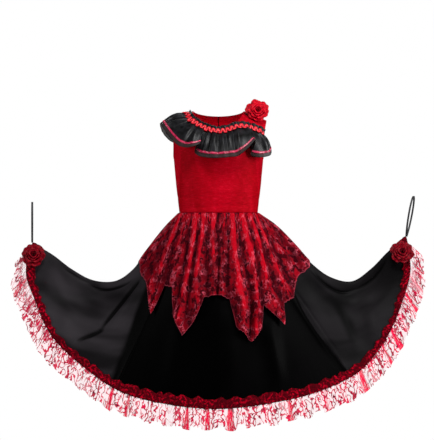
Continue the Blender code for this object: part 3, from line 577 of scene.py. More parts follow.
# Pulls and rolls of the satin, each along a curve through three places: across and drop.
# A depth below 0 is a ridge. Side -1 is the front of the dress and 1 its back.
PullRow = namedtuple("PullRow", "side x0 drop0 x1 drop1 x2 drop2 width depth")
PULLS = [PullRow(*row) for row in (
    (-1, -0.203, 0.434, -0.247, 0.492, -0.304, 0.562, 0.0058, 0.0068),
    (-1, -0.200, 0.450, -0.236, 0.504, -0.280, 0.566, 0.0100, -0.0050),
    (-1, -0.372, 0.592, -0.328, 0.577, -0.290, 0.560, 0.0062, 0.0045),
    (-1, -0.338, 0.449, -0.286, 0.463, -0.222, 0.436, 0.0042, 0.0048),
    (-1, -0.420, 0.392, -0.378, 0.425, -0.334, 0.448, 0.0036, 0.0034),
    (-1, -0.206, 0.440, -0.244, 0.610, -0.262, 0.700, 0.0130, 0.0012),
    (-1, -0.380, 0.500, -0.395, 0.560, -0.390, 0.610, 0.0220, -0.0060),
    (-1, 0.240, 0.409, 0.302, 0.463, 0.352, 0.463, 0.0042, 0.0050),
    (-1, 0.345, 0.466, 0.404, 0.435, 0.446, 0.374, 0.0042, 0.0045),
    (-1, 0.196, 0.466, 0.254, 0.553, 0.322, 0.652, 0.0050, -0.0045),
    (-1, 0.186, 0.474, 0.242, 0.562, 0.310, 0.660, 0.0070, 0.0040),
    (-1, 0.385, 0.500, 0.400, 0.560, 0.396, 0.610, 0.0220, -0.0060),
    (-1, 0.290, 0.480, 0.330, 0.540, 0.352, 0.610, 0.0160, 0.0035),
    (-1, 0.123, 0.526, 0.134, 0.594, 0.153, 0.700, 0.0200, -0.0085),
    (-1, -0.092, 0.530, -0.106, 0.610, -0.122, 0.710, 0.0250, -0.0050),
    (-1, 0.018, 0.500, 0.026, 0.600, 0.032, 0.715, 0.0220, -0.0040),
    (1, 0.210, 0.436, 0.255, 0.490, 0.306, 0.552, 0.0060, 0.0055),
    (1, 0.204, 0.450, 0.244, 0.506, 0.292, 0.566, 0.0110, -0.0050),
    (1, 0.336, 0.452, 0.290, 0.462, 0.232, 0.430, 0.0042, 0.0045),
    (1, 0.444, 0.378, 0.398, 0.438, 0.350, 0.464, 0.0040, 0.0040),
    (1, -0.236, 0.430, -0.292, 0.468, -0.346, 0.456, 0.0042, 0.0045),
    (1, -0.196, 0.462, -0.250, 0.560, -0.312, 0.650, 0.0060, 0.0045),
    (1, -0.384, 0.500, -0.398, 0.560, -0.392, 0.612, 0.0220, -0.0060),
    (1, 0.382, 0.505, 0.398, 0.560, 0.394, 0.612, 0.0220, -0.0060),
    (1, 0.080, 0.520, 0.092, 0.610, 0.110, 0.710, 0.0220, -0.0050),
    (1, -0.066, 0.510, -0.078, 0.610, -0.090, 0.712, 0.0250, -0.0050),
)]
PULL_STEPS = 14
PULL_SIDE_SPAN = 3.0
PULL_END_CURVE = 0.6

# From a line beside the left seam, through these places, towards the centre front the satin is painted in
# shade; each place is a drop below the shoulders and a place across.
SHADE_LINE = (
    (0.436, -0.178), (0.458, -0.194), (0.523, -0.219), (0.602, -0.244), (0.663, -0.268), (0.720, -0.290),
)
SHADE_SPAN = 0.010


def hermite(places, values, at):
    """Smooth curve through rows of values: on each gap a cubic with the mean slopes at its two ends."""
    places = np.asarray(places, float)
    values = np.asarray(values, float).reshape(len(places), -1)
    at = np.clip(np.asarray(at, float), places[0], places[-1])
    slopes = np.gradient(values, places, axis=0)
    gap = np.clip(np.searchsorted(places, at, side="right") - 1, 0, len(places) - 2)
    span = (places[gap + 1] - places[gap])[:, None]
    t = ((at - places[gap]) / span[:, 0])[:, None]
    start = (1 + 2 * t) * (1 - t) ** 2 * values[gap] + t * (1 - t) ** 2 * span * slopes[gap]
    end = t**2 * (3 - 2 * t) * values[gap + 1] - t**2 * (1 - t) * span * slopes[gap + 1]
    return start + end


def folded(angle):
    """Angle from the front or the back, whichever is nearer, from 0 to 90."""
    return np.where(np.abs(angle) > 90, 180 - np.abs(angle), np.abs(angle))


def unfolded(turn, angle):
    """A turn of 0 to 90, put back into the quarter that the angle lies in."""
    return np.where(np.abs(angle) > 90, 180 - turn, turn) * np.where(angle < 0, -1, 1)


def waist(angle):
    """Point of the waist ring below the seam, for an angle round the hem."""
    hem_turns, waist_turns = np.array(WAIST, float).T
    turn = np.radians(unfolded(hermite(hem_turns, waist_turns, folded(angle))[:, 0], angle))
    x = WAIST_HALF_WIDTH * power(np.sin(turn), 2 / SECTION_ROUNDNESS)
    y = -WAIST_HALF_DEPTH * power(np.cos(turn), 2 / SECTION_ROUNDNESS)
    return np.stack([x, y, np.full_like(x, -WAIST_DROP)], axis=1)


def hem_angle(waist_angle):
    """Angle round the hem of the column that starts at an angle round the waist."""
    fine = np.linspace(0, 90, 181)
    hem_turns, waist_turns = np.array(WAIST, float).T
    turn = hermite(hem_turns, waist_turns, fine)[:, 0]
    return unfolded(np.interp(folded(waist_angle), turn, fine), waist_angle)


def hem(angle):
    """Point of the hem at an angle: a smooth ring through the rows of HEM, mirrored to the back."""
    ring = []
    for row in HEM:
        for half, out, drop in ((-1, row.left_out, row.left_drop), (1, row.right_out, row.right_drop)):
            for turn, depth in ((row.angle, -row.depth), (180 - row.angle, row.depth)):
                ring.append((half * turn, half * out, depth, -drop))
    ring = sorted(set(ring))
    before = [(row[0] - 360,) + row[1:] for row in ring[-4:-1]]
    after = [(row[0] + 360,) + row[1:] for row in ring[1:4]]
    rows = np.array(before + ring + after)
    rows = rows[np.concatenate([[True], np.diff(rows[:, 0]) > 0.01])]
    return hermite(rows[:, 0], rows[:, 1:], angle)


def ridge(share, half):
    """Line from the waist's side to the hand loop, for the left half (-1) or the right (1)."""
    rows = np.array(RIDGE)
    out, drop = (1, 2) if half < 0 else (3, 4)
    line = hermite(rows[:, 0], rows[:, [out, drop]], share)
    return np.stack([half * line[:, 0], np.zeros(len(share)), -line[:, 1]], axis=1)


def ring_normals(grid):
    """Normals of the whole skirt, whose first and last columns are the same line at the centre back."""
    outside = normals(grid)
    outside[:, :1] = outside[:, -1:] = unit(outside[:, :1] + outside[:, -1:])
    return outside


def pulled(grid, angles):
    """Depth of all the pulls at each point: for each pull, its distance from the curve as seen from the
    front, in a bell shape of the pull's width, fading towards both ends."""
    depth = np.zeros(grid.shape[:2])
    flat = grid[..., [0, 2]]
    steps = np.linspace(0, 1, PULL_STEPS + 1)[:, None]
    for row in PULLS:
        start = np.array([row.x0, -row.drop0])
        end = np.array([row.x2, -row.drop2])
        bend = 2 * np.array([row.x1, -row.drop1]) - (start + end) / 2
        curve = (1 - steps) ** 2 * start + 2 * steps * (1 - steps) * bend + steps**2 * end
        best = np.full(grid.shape[:2], 1e9)
        along = np.zeros(grid.shape[:2])
        for number, (here, there) in enumerate(zip(curve[:-1], curve[1:])):
            line = there - here
            t = ramp(((flat - here) @ line) / (line @ line))
            away = np.linalg.norm(flat - here - t[..., None] * line, axis=2)
            near = away < best
            best = np.where(near, away, best)
            along = np.where(near, (number + t) / PULL_STEPS, along)
        on_side = np.abs(angles) < 90 if row.side < 0 else np.abs(angles) > 90
        edge = ramp(np.abs(np.abs(angles) - 90) / PULL_SIDE_SPAN) * on_side
        ends = np.sin(pi * np.clip(along, 0.02, 0.98)) ** PULL_END_CURVE
        depth += row.depth * bell(best, row.width) * ends * edge[None]
    return depth


def skirt(angles, shares):
    """Grid of the skirt, and the depth of its pulls: waist ring and hem blended straight, bulging at the
    front and sagging at the sides, with its long folds, its pulls and the small puckers above the hem."""
    down = shares[:, None, None]
    top = waist(angles)[None]
    low = hem(angles)[None]
    toward_side = ((folded(angles) / 90) ** SAG_CURVE)[None, :, None]
    grid = (1 - down) * top + down * low
    bulge = FRONT_BULGE * np.sin(pi * shares)[:, None, None] * (1 - toward_side)
    level = np.zeros_like(angles)
    grid = grid + bulge * np.stack([level, -np.cos(np.radians(angles)), level], axis=1)
    for half in (-1, 1):
        line = ridge(shares, half)
        sag = line - ((1 - shares[:, None]) * line[0] + shares[:, None] * line[-1])
        grid = grid + np.where((np.sign(angles) == half)[None, :, None], toward_side, 0) * sag[:, None, :]
    outside = ring_normals(grid)
    for fold in FOLDS:
        across = bell(angles - fold.angle, fold.width)
        along = ramp((shares - fold.start) / (fold.end - fold.start))
        depth = fold.depth * np.sin(pi * along * CREASE_RISE)
        grid = grid - depth[:, None, None] * across[None, :, None] * outside
    reach = np.exp(-(1 - shares) * SKIRT_LENGTH / PUCKER_REACH)[:, None]
    pucker = PUCKER_DEPTH * np.sin(np.radians(angles) * PUCKERS)[None] * reach
    away = np.min(np.abs(angles[:, None] - SKIRT_SEAMS), axis=1)
    dip = bell(away, SEAM_DIP_SPAN) - bell(away - SEAM_ROLL_AT, SEAM_ROLL_SPAN)
    sewn = SEAM_DIP * dip
    pulls = pulled(grid, angles)
    return grid - (pulls + pucker + sewn * shares[:, None])[..., None] * ring_normals(grid), pulls


def satin_finish(name, gleam, shine):
    """Black satin: a close warp-faced weave with long floats and slightly uneven dye. Its base tone is
    painted light, set per gore, with painted shade in the hollows of its pulls and beside the left seam.
    """
    material, uv, shader = finish(name, Specular_IOR_Level=shine)
    cloudy = uv.noise(7.0).step(0.34, 0.66)
    # Painted shade: the satin is darkened in the hollows of its pulls.
    unshaded_by_pulls = 1 - mark(uv, "hollow").step(0.0004, 0.0036) * 0.9
    # Uneven dye, times the painted shade of the pulls and the painted shade beside the left seam.
    tone_and_shade = (0.20 + cloudy * 0.80) * unshaded_by_pulls * (1 - mark(uv, "shade"))
    feed(shader, "Base Color", tone_and_shade.blend((0, 0, 0, 1), (1.30 * gleam, 1.14 * gleam, 1.30 * gleam, 1)))
    threads = uv.grain(0.0016, 0.0075, 4.0)
    feed(shader, "Roughness", 0.40 + threads * 0.10 + cloudy * 0.06)
    bump(shader, threads + uv.noise(600.0, 3.0) * 0.6, 0.00010)
    return material


beside = (SKIRT_SEAMS[:, None] + SEAM_COLUMNS).ravel()
even = np.linspace(-180, 180, SKIRT_COLUMNS + 1)
even = even[np.min(np.abs(even[:, None] - SKIRT_SEAMS), axis=1) > SEAM_COLUMNS[-1] + 0.05]
skirt_angles = np.unique(np.concatenate([even, beside[np.abs(beside) <= 180]]))
skirt_shares = np.linspace(0, 1, SKIRT_ROWS + 1)
skirt_grid, skirt_pulls = skirt(skirt_angles, skirt_shares)
skirt_outside = ring_normals(skirt_grid)
# Painted shade on the front of the skirt beside the left seam.
drops, turns = np.array(SHADE_LINE).T
beyond = (skirt_grid[..., 0] - np.interp(-skirt_grid[..., 2], drops, turns)) / SHADE_SPAN
in_front = (np.abs(skirt_angles) < 90)[None] & (skirt_grid[..., 0] < 0)
skirt_shade = np.where(in_front, ramp(beyond), 0)

# Base tone of each gore is painted light: the same black satin is lighter on the left side gore, darker on
# the right side and the backs, and nearly black in front, as the light falls on them.
GoreRow = namedtuple("GoreRow", "name start end gleam shine")
GORES = (
    GoreRow("skirt_back_left", -180, -BACK_SEAM, 0.006, 0.07),
    GoreRow("skirt_side_left", -BACK_SEAM, LEFT_SEAM, 0.0165, 0.022),
    GoreRow("skirt_front", LEFT_SEAM, RIGHT_SEAM, 0.0004, 0.014),
    GoreRow("skirt_side_right", RIGHT_SEAM, BACK_SEAM, 0.0062, 0.036),
    GoreRow("skirt_back_right", BACK_SEAM, 180, 0.006, 0.07),
)
for gore in GORES:
    within = (skirt_angles >= gore.start - 1e-6) & (skirt_angles <= gore.end + 1e-6)
    gore_grid = skirt_grid[:, within]
    satin = satin_finish(gore.name + " satin", gore.gleam, gore.shine)
    marks = {"hollow": skirt_pulls[:, within], "shade": skirt_shade[:, within]}
    piece = cloth(gore.name, [gore_grid], CLOTH, satin, marks)
    sew(gore_grid, [gore.name])

# Overskirt: gathered red lace over the satin, a front and a back, sewn in with the waist
# seam. Its edge is cut into handkerchief points, and its folds open downwards. The lace
# is a fine net with flowers, leaves and curling stems, touched with pink foil.
THIN_CLOTH = 0.001
LACE_WALL = 0.0007
OVERSKIRT_FOLD_DEPTH = 0.013
OVERSKIRT_COLUMNS = 360
OVERSKIRT_ROWS = 56
OVERSKIRT_LIFT = 2.5 * SEAM
OVERSKIRT_LIFTED_BY = 0.03
OVERSKIRT_CLEARANCE = 0.003
OVERSKIRT_CLEARED_BY = 0.25
OVERSKIRT_OPEN_BY = 0.33
OVERSKIRT_WAIST_SPREAD = 0.4
OVERSKIRT_FLAT_FROM = 82.0
OVERSKIRT_CALM_CURVE = 4
CREST_SHARPNESS = 0.8
FOLD_LIMIT = 1.2
SMALL_FOLD = 0.10
SMALL_FOLD_SWAY = 1.7
SMALL_FOLD_RATE = 1.9
GATHER_PITCH = 3.1
GATHER_UNEVEN = 0.6
GATHER_HEIGHT = 0.0011
GATHER_REACH = 0.045
EDGE_SCALLOP = 0.011
EDGE_SCALLOP_DEPTH = 0.0022
EDGE_STEP = 0.0011
DRIFT_RATE = 2.3
DRIFT_LENGTH = 0.06
CREST_LOW_FADE = 0.45
GATHER_HIGHLIGHT = 0.8

# Crests of the folds: angle round the waist, and height as a share of the fold's depth.
FRONT_CRESTS = (
    (-90, 0.6), (-67, 1.0), (-47, 0.6), (-30, 1.1), (-18, 0.9), (-5, 0.8), (4, 0.6), (16, 1.2), (33, 1.0),
    (49, 0.9), (64, 0.9), (79, 0.6), (90, 0.6),
)
BACK_CRESTS = (
    (90, 0.6), (103, 0.7), (121, 1.0), (137, 0.8), (151, 1.1), (163, 0.7), (176, 1.0), (187, 0.7),
    (202, 1.1), (218, 0.9), (233, 1.0), (251, 0.8), (270, 0.6),
)

# Corners of the cut edge: angle round the waist, and length below it.
OVERSKIRT_EDGE = (
    (-180, 0.215), (-160, 0.325), (-140, 0.205), (-120, 0.305), (-104, 0.190), (-88, 0.152), (-80, 0.177),
    (-60, 0.269), (-56, 0.190), (-44, 0.196), (-40, 0.262), (-28, 0.323), (-16, 0.265), (-12, 0.224),
    (0, 0.219), (9, 0.230), (13, 0.300), (24, 0.340), (34, 0.304), (39, 0.244), (52, 0.298), (60, 0.238),
    (72, 0.224), (80, 0.176), (92, 0.187), (120, 0.300), (136, 0.205), (160, 0.335), (180, 0.215),
)


def on_skirt(angle, share):
    """Points and outward directions of the skirt's own facets, read between its columns and rows."""
    angle = np.asarray(angle, float)
    share = np.asarray(share, float)
    column = np.interp(angle, skirt_angles, np.arange(len(skirt_angles)))
    row = ramp(share) * SKIRT_ROWS
    left = np.clip(column.astype(int), 0, len(skirt_angles) - 2)
    upper = np.clip(row.astype(int), 0, SKIRT_ROWS - 1)
    a = (column - left)[..., None]
    b = (row - upper)[..., None]

    def between(field):
        near = field[upper, left] * (1 - a) + field[upper, left + 1] * a
        far = field[upper + 1, left] * (1 - a) + field[upper + 1, left + 1] * a
        return near * (1 - b) + far * b

    return between(skirt_grid), unit(between(skirt_outside))


def wander(values, seed, waves=5):
    """Slow random wave along an array, from about -1 to 1: a sum of sines of seeded lengths and starts."""
    chance = np.random.default_rng(seed)
    along = (values - np.min(values)) / (np.ptp(values) + TINY)
    total = np.zeros(np.shape(values))
    for number in range(1, waves + 1):
        rate = chance.uniform(0.6, 1.4) * number * 3
        total = total + np.sin(tau * rate * along + chance.uniform(0, tau)) / number**0.5
    return total / waves**0.5


def wrap(angles):
    """The same directions as angles from -180 to 180."""
    return (angles + 180) % 360 - 180


def downs(rows):
    """Shares of the way down a grid, one for each of its rows, as a column."""
    return np.linspace(0, 1, rows + 1)[:, None]


def overskirt(start, end, crests, seed):
    """Grid of one half of the overskirt, each point's distance from its cut edge, and how far it is a crest.
    The cloth stands off the skirt in folds with crests at listed angles, round on top and narrow between."""
    angles = np.linspace(start, end, OVERSKIRT_COLUMNS + 1)
    wrapped = wrap(angles)
    edge = np.array(OVERSKIRT_EDGE)
    length = np.interp(wrapped, edge[:, 0], edge[:, 1])
    run = np.cumsum(np.abs(np.gradient(length)) + EDGE_STEP)
    length = length - EDGE_SCALLOP_DEPTH * np.abs(np.cos(pi * run / EDGE_SCALLOP))
    down = downs(OVERSKIRT_ROWS)
    metres = down * length
    share = metres / SKIRT_LENGTH
    places, heights = np.array(crests).T
    phase = np.interp(angles, places, np.arange(len(crests)))
    height = np.interp(angles, places, heights)
    calm = 1 - np.minimum(np.abs(angles - (start + end) / 2) / OVERSKIRT_FLAT_FROM, 1) ** OVERSKIRT_CALM_CURVE
    drift = np.sin(phase * DRIFT_RATE + seed + metres / DRIFT_LENGTH) * metres
    round_top = (0.5 + 0.5 * np.cos(tau * (phase + drift))) ** CREST_SHARPNESS
    small = SMALL_FOLD * np.cos(2 * tau * (phase + drift) + SMALL_FOLD_SWAY * np.sin(phase * SMALL_FOLD_RATE))
    fold = np.clip(height * round_top + small, 0, FOLD_LIMIT)
    opened = ramp(down / OVERSKIRT_OPEN_BY)
    spread = opened * (OVERSKIRT_WAIST_SPREAD + (1 - OVERSKIRT_WAIST_SPREAD) * down)
    clear = CLOTH + OVERSKIRT_LIFT * ramp(down / OVERSKIRT_LIFTED_BY)
    clear = clear + OVERSKIRT_CLEARANCE * ramp(down / OVERSKIRT_CLEARED_BY) * (0.5 + 0.5 * calm)
    stand = clear + OVERSKIRT_FOLD_DEPTH * fold * spread * calm
    gather = 0.5 + 0.5 * np.cos(tau * (angles / GATHER_PITCH + GATHER_UNEVEN * wander(angles, seed + 4, 9)))
    near_waist = ramp(metres / WAIST_CALM) * bell(metres, GATHER_REACH)
    stand = stand + GATHER_HEIGHT * gather * near_waist
    points, outside = on_skirt(np.broadcast_to(hem_angle(wrapped), share.shape), share)
    crest = round_top * np.minimum(height, 1) * (1 - CREST_LOW_FADE * down)
    # The gathers near the waist are marked as crests, so they get the painted highlight too.
    crest = np.maximum(crest, GATHER_HIGHLIGHT * gather * near_waist)
    return points + stand[..., None] * outside, length - metres, crest


def overskirt_finish():
    """Red lace: dense motifs with pink corded outlines and five-petalled flowers, on a fine net that the
    satin shows through. Along the folds' crests it is doubled, so solid; the crests get a painted highlight
    and the troughs between them painted shade."""
    material, uv, shader = finish("red flower lace", Specular_IOR_Level=0.02)
    spots = uv.scaled(1 / 0.030, 1 / 0.030)
    centre = spots.cells("F1", 0.6, "Position")
    offset = spots.make("ShaderNodeVectorMath", {"operation": "SUBTRACT"}, {0: spots, 1: centre})
    turn = offset.part("Y").sum("ARCTAN2", offset.part("X"))
    petal = spots.cells("F1", 0.6, "Distance") - (turn * 5.0).sum("COSINE") * 0.07
    field = uv.grain(0.017, 0.024, 2.5)
    motif = field.step(0.46, 0.54) | petal.step(0.28, 0.22)
    outline = field.near(0.50, 0.020, 0.010) | petal.near(0.255, 0.04, 0.02)
    curl = uv.grain(0.012, 0.014, 1.5).near(0.5, 0.022, 0.010)
    cord = mark(uv, "inside").step(0.0030, 0.0018)
    crest = mark(uv, "crest")
    bunched = (crest + (uv.grain(0.020, 0.045, 2.0) - 0.5) * 1.1).step(0.42, 0.78)
    cloudy = uv.noise(30.0, 3.0).step(0.35, 0.68)
    net = uv.net(0.0021, 0.16, 0.10)
    feed(shader, "Alpha", motif * 0.94 | bunched | outline | curl * 0.8 | cord | net * 0.8 | 0.62)
    # Painted light: thread and foil are lighter on the crests and darker in the troughs.
    crest_highlight = crest.step(0.0, 0.35)
    tone = bunched | motif * (0.22 + cloudy * 0.42) | 0.08
    thread = (tone * (0.30 + crest_highlight * 0.70)).blend((0.022, 0.0, 0.002, 1), (0.37, 0.0, 0.007, 1))
    place = uv.noise(40.0).step(0.50, 0.60)
    foil = (outline | curl) * (0.04 + place * 0.38) * (0.3 + crest_highlight * 0.7) | cord * 0.18
    feed(shader, "Base Color", foil.blend(thread, (0.80, 0.12, 0.19, 1)))
    feed(shader, "Roughness", 0.62 - foil * 0.25)
    bump(shader, motif + outline + net * 0.4, 0.0004)
    return material


red_lace = overskirt_finish()
for name, start, end, crests, seed in (
    ("overskirt_front", -90, 90, FRONT_CRESTS, 3),
    ("overskirt_back", 90, 270, BACK_CRESTS, 8),
):
    lace_grid, inside, crest = overskirt(start, end, crests, seed)
    marks = {"inside": inside, "crest": crest}
    piece = cloth(name, [lace_grid], LACE_WALL, red_lace, marks, gathered=True)
    sew(lace_grid, [name])

# Hem ruche: a strip of dark red velvet gathered into small uneven puffs and stitched on
# the satin along the hem, front and back. It hides the root of the hem lace.
RUCHE_WIDTH = 0.030
RUCHE_PUFFS = 80
RUCHE_COLUMNS_PER_PUFF = 6
RUCHE_ROWS = 14
RUCHE_STAND = 0.0048
RUCHE_PUFF_DRIFT = 0.6
RUCHE_MEAN_WIDTH = 0.88
RUCHE_EDGE_WAVE = 0.14
RUCHE_RAGGED = 0.16
RAGGED_COARSE = 0.55
RAGGED_FINE = 0.45
RUCHE_FLAT = 0.25
RUCHE_RIM = 0.03
RUCHE_ROUNDNESS = 0.7
RUCHE_STITCH_DIP = 0.45
RUCHE_STITCH_SPAN = 0.09
RUCHE_END = 0.9985
RUCHE_NARROWS = 0.24
RUCHE_NARROW_AT = 60.0
RUCHE_NARROW_SPAN = 18.0


def ruche(start, end, seed):
    """Grid of one half of the ruche: puffs in two rows that alternate, under a rounded crown."""
    count = RUCHE_PUFFS * RUCHE_COLUMNS_PER_PUFF // 2
    angles = np.linspace(start, end, count + 1)
    wrapped = wrap(angles)
    phase = np.linspace(0, RUCHE_PUFFS / 2, count + 1) + RUCHE_PUFF_DRIFT * wander(angles, seed, 9)
    puff = np.cos(tau * phase)
    ragged = RAGGED_COARSE * wander(angles, seed + 1, 14) + RAGGED_FINE * wander(angles, seed + 2, 40)
    narrow = 1 - RUCHE_NARROWS * bell(np.abs(wrapped) - RUCHE_NARROW_AT, RUCHE_NARROW_SPAN)
    width = RUCHE_WIDTH * (RUCHE_MEAN_WIDTH * narrow + RUCHE_EDGE_WAVE * puff + RUCHE_RAGGED * ragged)
    down = downs(RUCHE_ROWS)
    share = RUCHE_END - (1 - down) * (width - (1 - RUCHE_END) * SKIRT_LENGTH) / SKIRT_LENGTH
    points, outside = on_skirt(np.broadcast_to(wrapped, share.shape), share)
    crown = np.sin(pi * np.clip(down, RUCHE_RIM, 1 - RUCHE_RIM)) ** 0.5
    upper = (0.5 + 0.5 * puff) ** RUCHE_ROUNDNESS
    lower = (0.5 - 0.5 * puff) ** RUCHE_ROUNDNESS
    mixed = upper * (1 - down) + lower * down
    stitched = 1 - RUCHE_STITCH_DIP * bell(down - 0.5, RUCHE_STITCH_SPAN)
    stand = CLOTH + SEAM + RUCHE_STAND * crown * stitched * (RUCHE_FLAT + (1 - RUCHE_FLAT) * mixed)
    return points + stand[..., None] * outside


def ruche_finish():
    """Dark red crushed velvet: light where the pile leans one way and dark where it leans the other."""
    material, uv, shader = finish("dark red velvet", Roughness=0.8, Specular_IOR_Level=0.02)
    crushed = uv.noise(150.0, 4.0).step(0.46, 0.66) * uv.noise(26.0).step(0.30, 0.60)
    feed(shader, "Base Color", crushed.blend((0.045, 0.0, 0.002, 1), (0.34, 0.0, 0.010, 1)))
    bump(shader, uv.noise(420.0, 4.0) + crushed * 0.5, 0.0006)
    return material


dark_velvet = ruche_finish()
for name, start, end, seed in (("hem_ruche_front", -90, 90, 21), ("hem_ruche_back", 90, 270, 34)):
    ruche_grid = ruche(start, end, seed)
    piece = cloth(name, [ruche_grid], THIN_CLOTH, dark_velvet, gathered=True)
    sew(ruche_grid, [name])

# Hem lace: a strip of sheer red lace gathered on the underside of the hem, so that it
# flares out and down below the ruche. It is cut and sewn on in four lengths that meet at
# the centre front and back. The net is nearly clear and the curling stems carry the red.
LACE_WIDTH = 0.057
LACE_WAVES = 60
LACE_COLUMNS_PER_WAVE = 16
LACE_ROWS = 26
LACE_WAVE_DEPTH = 0.010
LACE_OUT = 0.55
LACE_DOWN = 0.80
LACE_END = 3.0
APEX_SPAN = 25.0
APEX_OUT = 0.10
APEX_UP = 0.15
APEX_CALM = 0.6
ROOT_WAVE = 0.25
HEM_NARROWNESS = 0.25
SIDE_SWING = 0.0042
SCALLOP_DEPTH = 0.0035
HEM_LACE_WALL = 0.0004
WAVE_DRIFT = 0.22
WAVE_UNEVEN = 0.28
WAVE_LIMITS = (0.4, 1.25)
WAVE_FROM = 0.08
WAVE_CURVE = 0.8
WIDTH_UNEVEN = 0.05
SCALLOPS_PER_WAVE = 1.5
SCALLOP_START = 0.4
SCALLOP_CURVE = 6
UNPINCHED_SHARE = 0.40
PINCH_GROWTH = 2.4
PINCH_SPAN = 0.085
BARE_GROWTH = 1.6
BARE_TO = 0.60


def outward_level(points):
    """Level direction away from the middle of the skirt, for points along the hem."""
    return unit(points * (HEM_NARROWNESS, 1, 0))


def hem_lace(start, end, seed):
    """Grid of half the hem lace, with marks of its pinched folds and its bare parts. It hangs out and down
    from the hem, in waves that grow from the root and lean to both sides at their crests, like open tubes."""
    count = LACE_WAVES // 2 * LACE_COLUMNS_PER_WAVE
    angles = np.linspace(start + LACE_END, end - LACE_END, count + 1)
    wrapped = wrap(angles)
    root = on_skirt(wrapped, np.ones(count + 1))[0]
    side = ramp(1 - np.minimum(angles - start, end - angles) / APEX_SPAN)
    level = (LACE_OUT + APEX_OUT * side)[:, None] * outward_level(root)
    hang = unit(level - np.array([0, 0, 1]) * (LACE_DOWN - APEX_UP * side)[:, None])
    along = unit(np.gradient(root, axis=0))
    across = unit(np.cross(hang, along))
    phase = np.linspace(0, LACE_WAVES / 2, count + 1) + WAVE_DRIFT * wander(angles, seed, 8)
    calm = 1 - APEX_CALM * side
    uneven = 1 + WAVE_UNEVEN * wander(angles, seed + 1, 9)
    wave = np.cos(tau * phase) * calm * np.clip(uneven, *WAVE_LIMITS)
    swing = np.sin(2 * tau * phase) * calm
    down = downs(LACE_ROWS)
    scallop = np.abs(np.cos(pi * phase * SCALLOPS_PER_WAVE + SCALLOP_START))
    scallop = SCALLOP_DEPTH * scallop * down**SCALLOP_CURVE
    reach = LACE_WIDTH * (1 + WIDTH_UNEVEN * wander(angles, seed + 2, 11)) * down
    grown = (ROOT_WAVE + (1 - ROOT_WAVE) * down**WAVE_CURVE) * ramp(down / WAVE_FROM)
    grid = root + (reach - scallop)[..., None] * hang
    grid = grid + across * (LACE_WAVE_DEPTH * wave * grown)[..., None]
    grid = grid + along * (SIDE_SWING * swing * down)[..., None]
    chosen = np.random.default_rng(seed).random(LACE_WAVES)[(phase % (LACE_WAVES / 2)).astype(int)]
    pinch = ramp((chosen - UNPINCHED_SHARE) * PINCH_GROWTH) * (1 - side)
    pinch = pinch * bell(phase % 1 - 0.5, PINCH_SPAN)
    bare = ramp(BARE_GROWTH * side) * np.clip(1.25 - down / BARE_TO, 0.25, 1)
    return grid, np.broadcast_to(pinch, grid.shape[:2]), bare


def hem_lace_finish():
    """Sheer red net, nearly clear. Wavering stems run down it in clusters with curls between them, and the
    pinched folds are solid red. The net frays out before the edge, so that the stems end in a ragged line."""
    material, uv, shader = finish("sheer red lace", Roughness=0.6, Specular_IOR_Level=0.05)
    sway = uv.grain(0.026, 0.016) * 1.7
    stripe = ((uv.part("X") * (1 / 0.0165)) + sway).sum("FRACT")
    broken = uv.grain(0.018, 0.024).step(0.43, 0.49)
    stem = stripe.near(0.5, 0.15, 0.09) * broken
    field = uv.grain(0.016, 0.020)
    curl = field.near(0.5, 0.040, 0.026)
    cluster = uv.grain(0.060, 0.150).step(0.28, 0.50)
    clothed = 1 - mark(uv, "bare") * 0.85
    line = (stem | curl * 0.85) * (0.30 + cluster * 0.70) * clothed
    streak = uv.grain(0.0022, 0.030).step(0.30, 0.60)
    pinch = mark(uv, "pinch").step(0.10, 0.70) * (0.20 + streak * 0.85)
    kept = mark(uv, "inside").step(0.0005, 0.0060)
    net = uv.net(0.0022, 0.14, 0.08)
    feed(shader, "Alpha", line * 0.95 | pinch | (net * 0.16 | 0.05) * kept * clothed)
    shade = uv.noise(90.0).step(0.34, 0.50)
    thread = shade.blend((0.16, 0.0, 0.018, 1), (0.52, 0.002, 0.042, 1))
    thread = pinch.step(0.2, 0.6).blend(thread, (0.72, 0.001, 0.045, 1))
    feed(shader, "Base Color", (line | pinch).step(0.1, 0.5).blend((0.85, 0.10, 0.20, 1), thread))
    bump(shader, line + net * 0.3, 0.0003)
    return material


sheer_lace = hem_lace_finish()
for name, start, end, sides, seed in (
    ("hem_lace_front", -90, 90, ("left", "right"), 5),
    ("hem_lace_back", 90, 270, ("right", "left"), 12),
):
    strip, pinch, bare = hem_lace(start, end, seed)
    middle = strip.shape[1] // 2
    for side_name, part in zip(sides, (slice(None, middle + 1), slice(middle, None))):
        quarter = strip[:, part]
        inside = np.broadcast_to(LACE_WIDTH * (1 - downs(LACE_ROWS)), quarter.shape[:2])
        node = name + "_" + side_name
        marks = {"inside": inside, "pinch": pinch[:, part], "bare": bare[:, part]}
        piece = cloth(node, [quarter], HEM_LACE_WALL, sheer_lace, marks, gathered=True)
        sew(quarter, [node])

# Shoulder flounce: one band of black satin gathered on a line over the left shoulder and
# across the chest, where it lies in three lobes with a fold between. A pink-red ribbon is
# sewn near its edge, and beyond the ribbon the band is thin enough to see through.
FLOUNCE_STEPS_PER_ROW = 18
FLOUNCE_ROWS = 44
FLOUNCE_BULGE = 0.007
FLOUNCE_WALL = 0.0006
SMALL = 0.001
GATHERS = 19
GATHER_DEPTH = 0.0036
GATHER_DRIFT = 0.35
GATHER_BEND = 0.10
GATHER_BEND_RATE = 0.7
GATHER_LIMITS = (0.3, 1.6)
GATHER_FULLEST = 0.3
GATHER_AT_ROOT = 0.35
GATHER_AT_EDGE = 0.10
FINE_GATHER = 0.22
FINE_GATHER_RATE = 2.3
FINE_GATHER_START = 0.9
BULGE_CURVE = 0.8
RIBBON_WIDTH = 0.0048
RIBBON_PLACE = 0.80
RIBBON_WALL = 0.0005

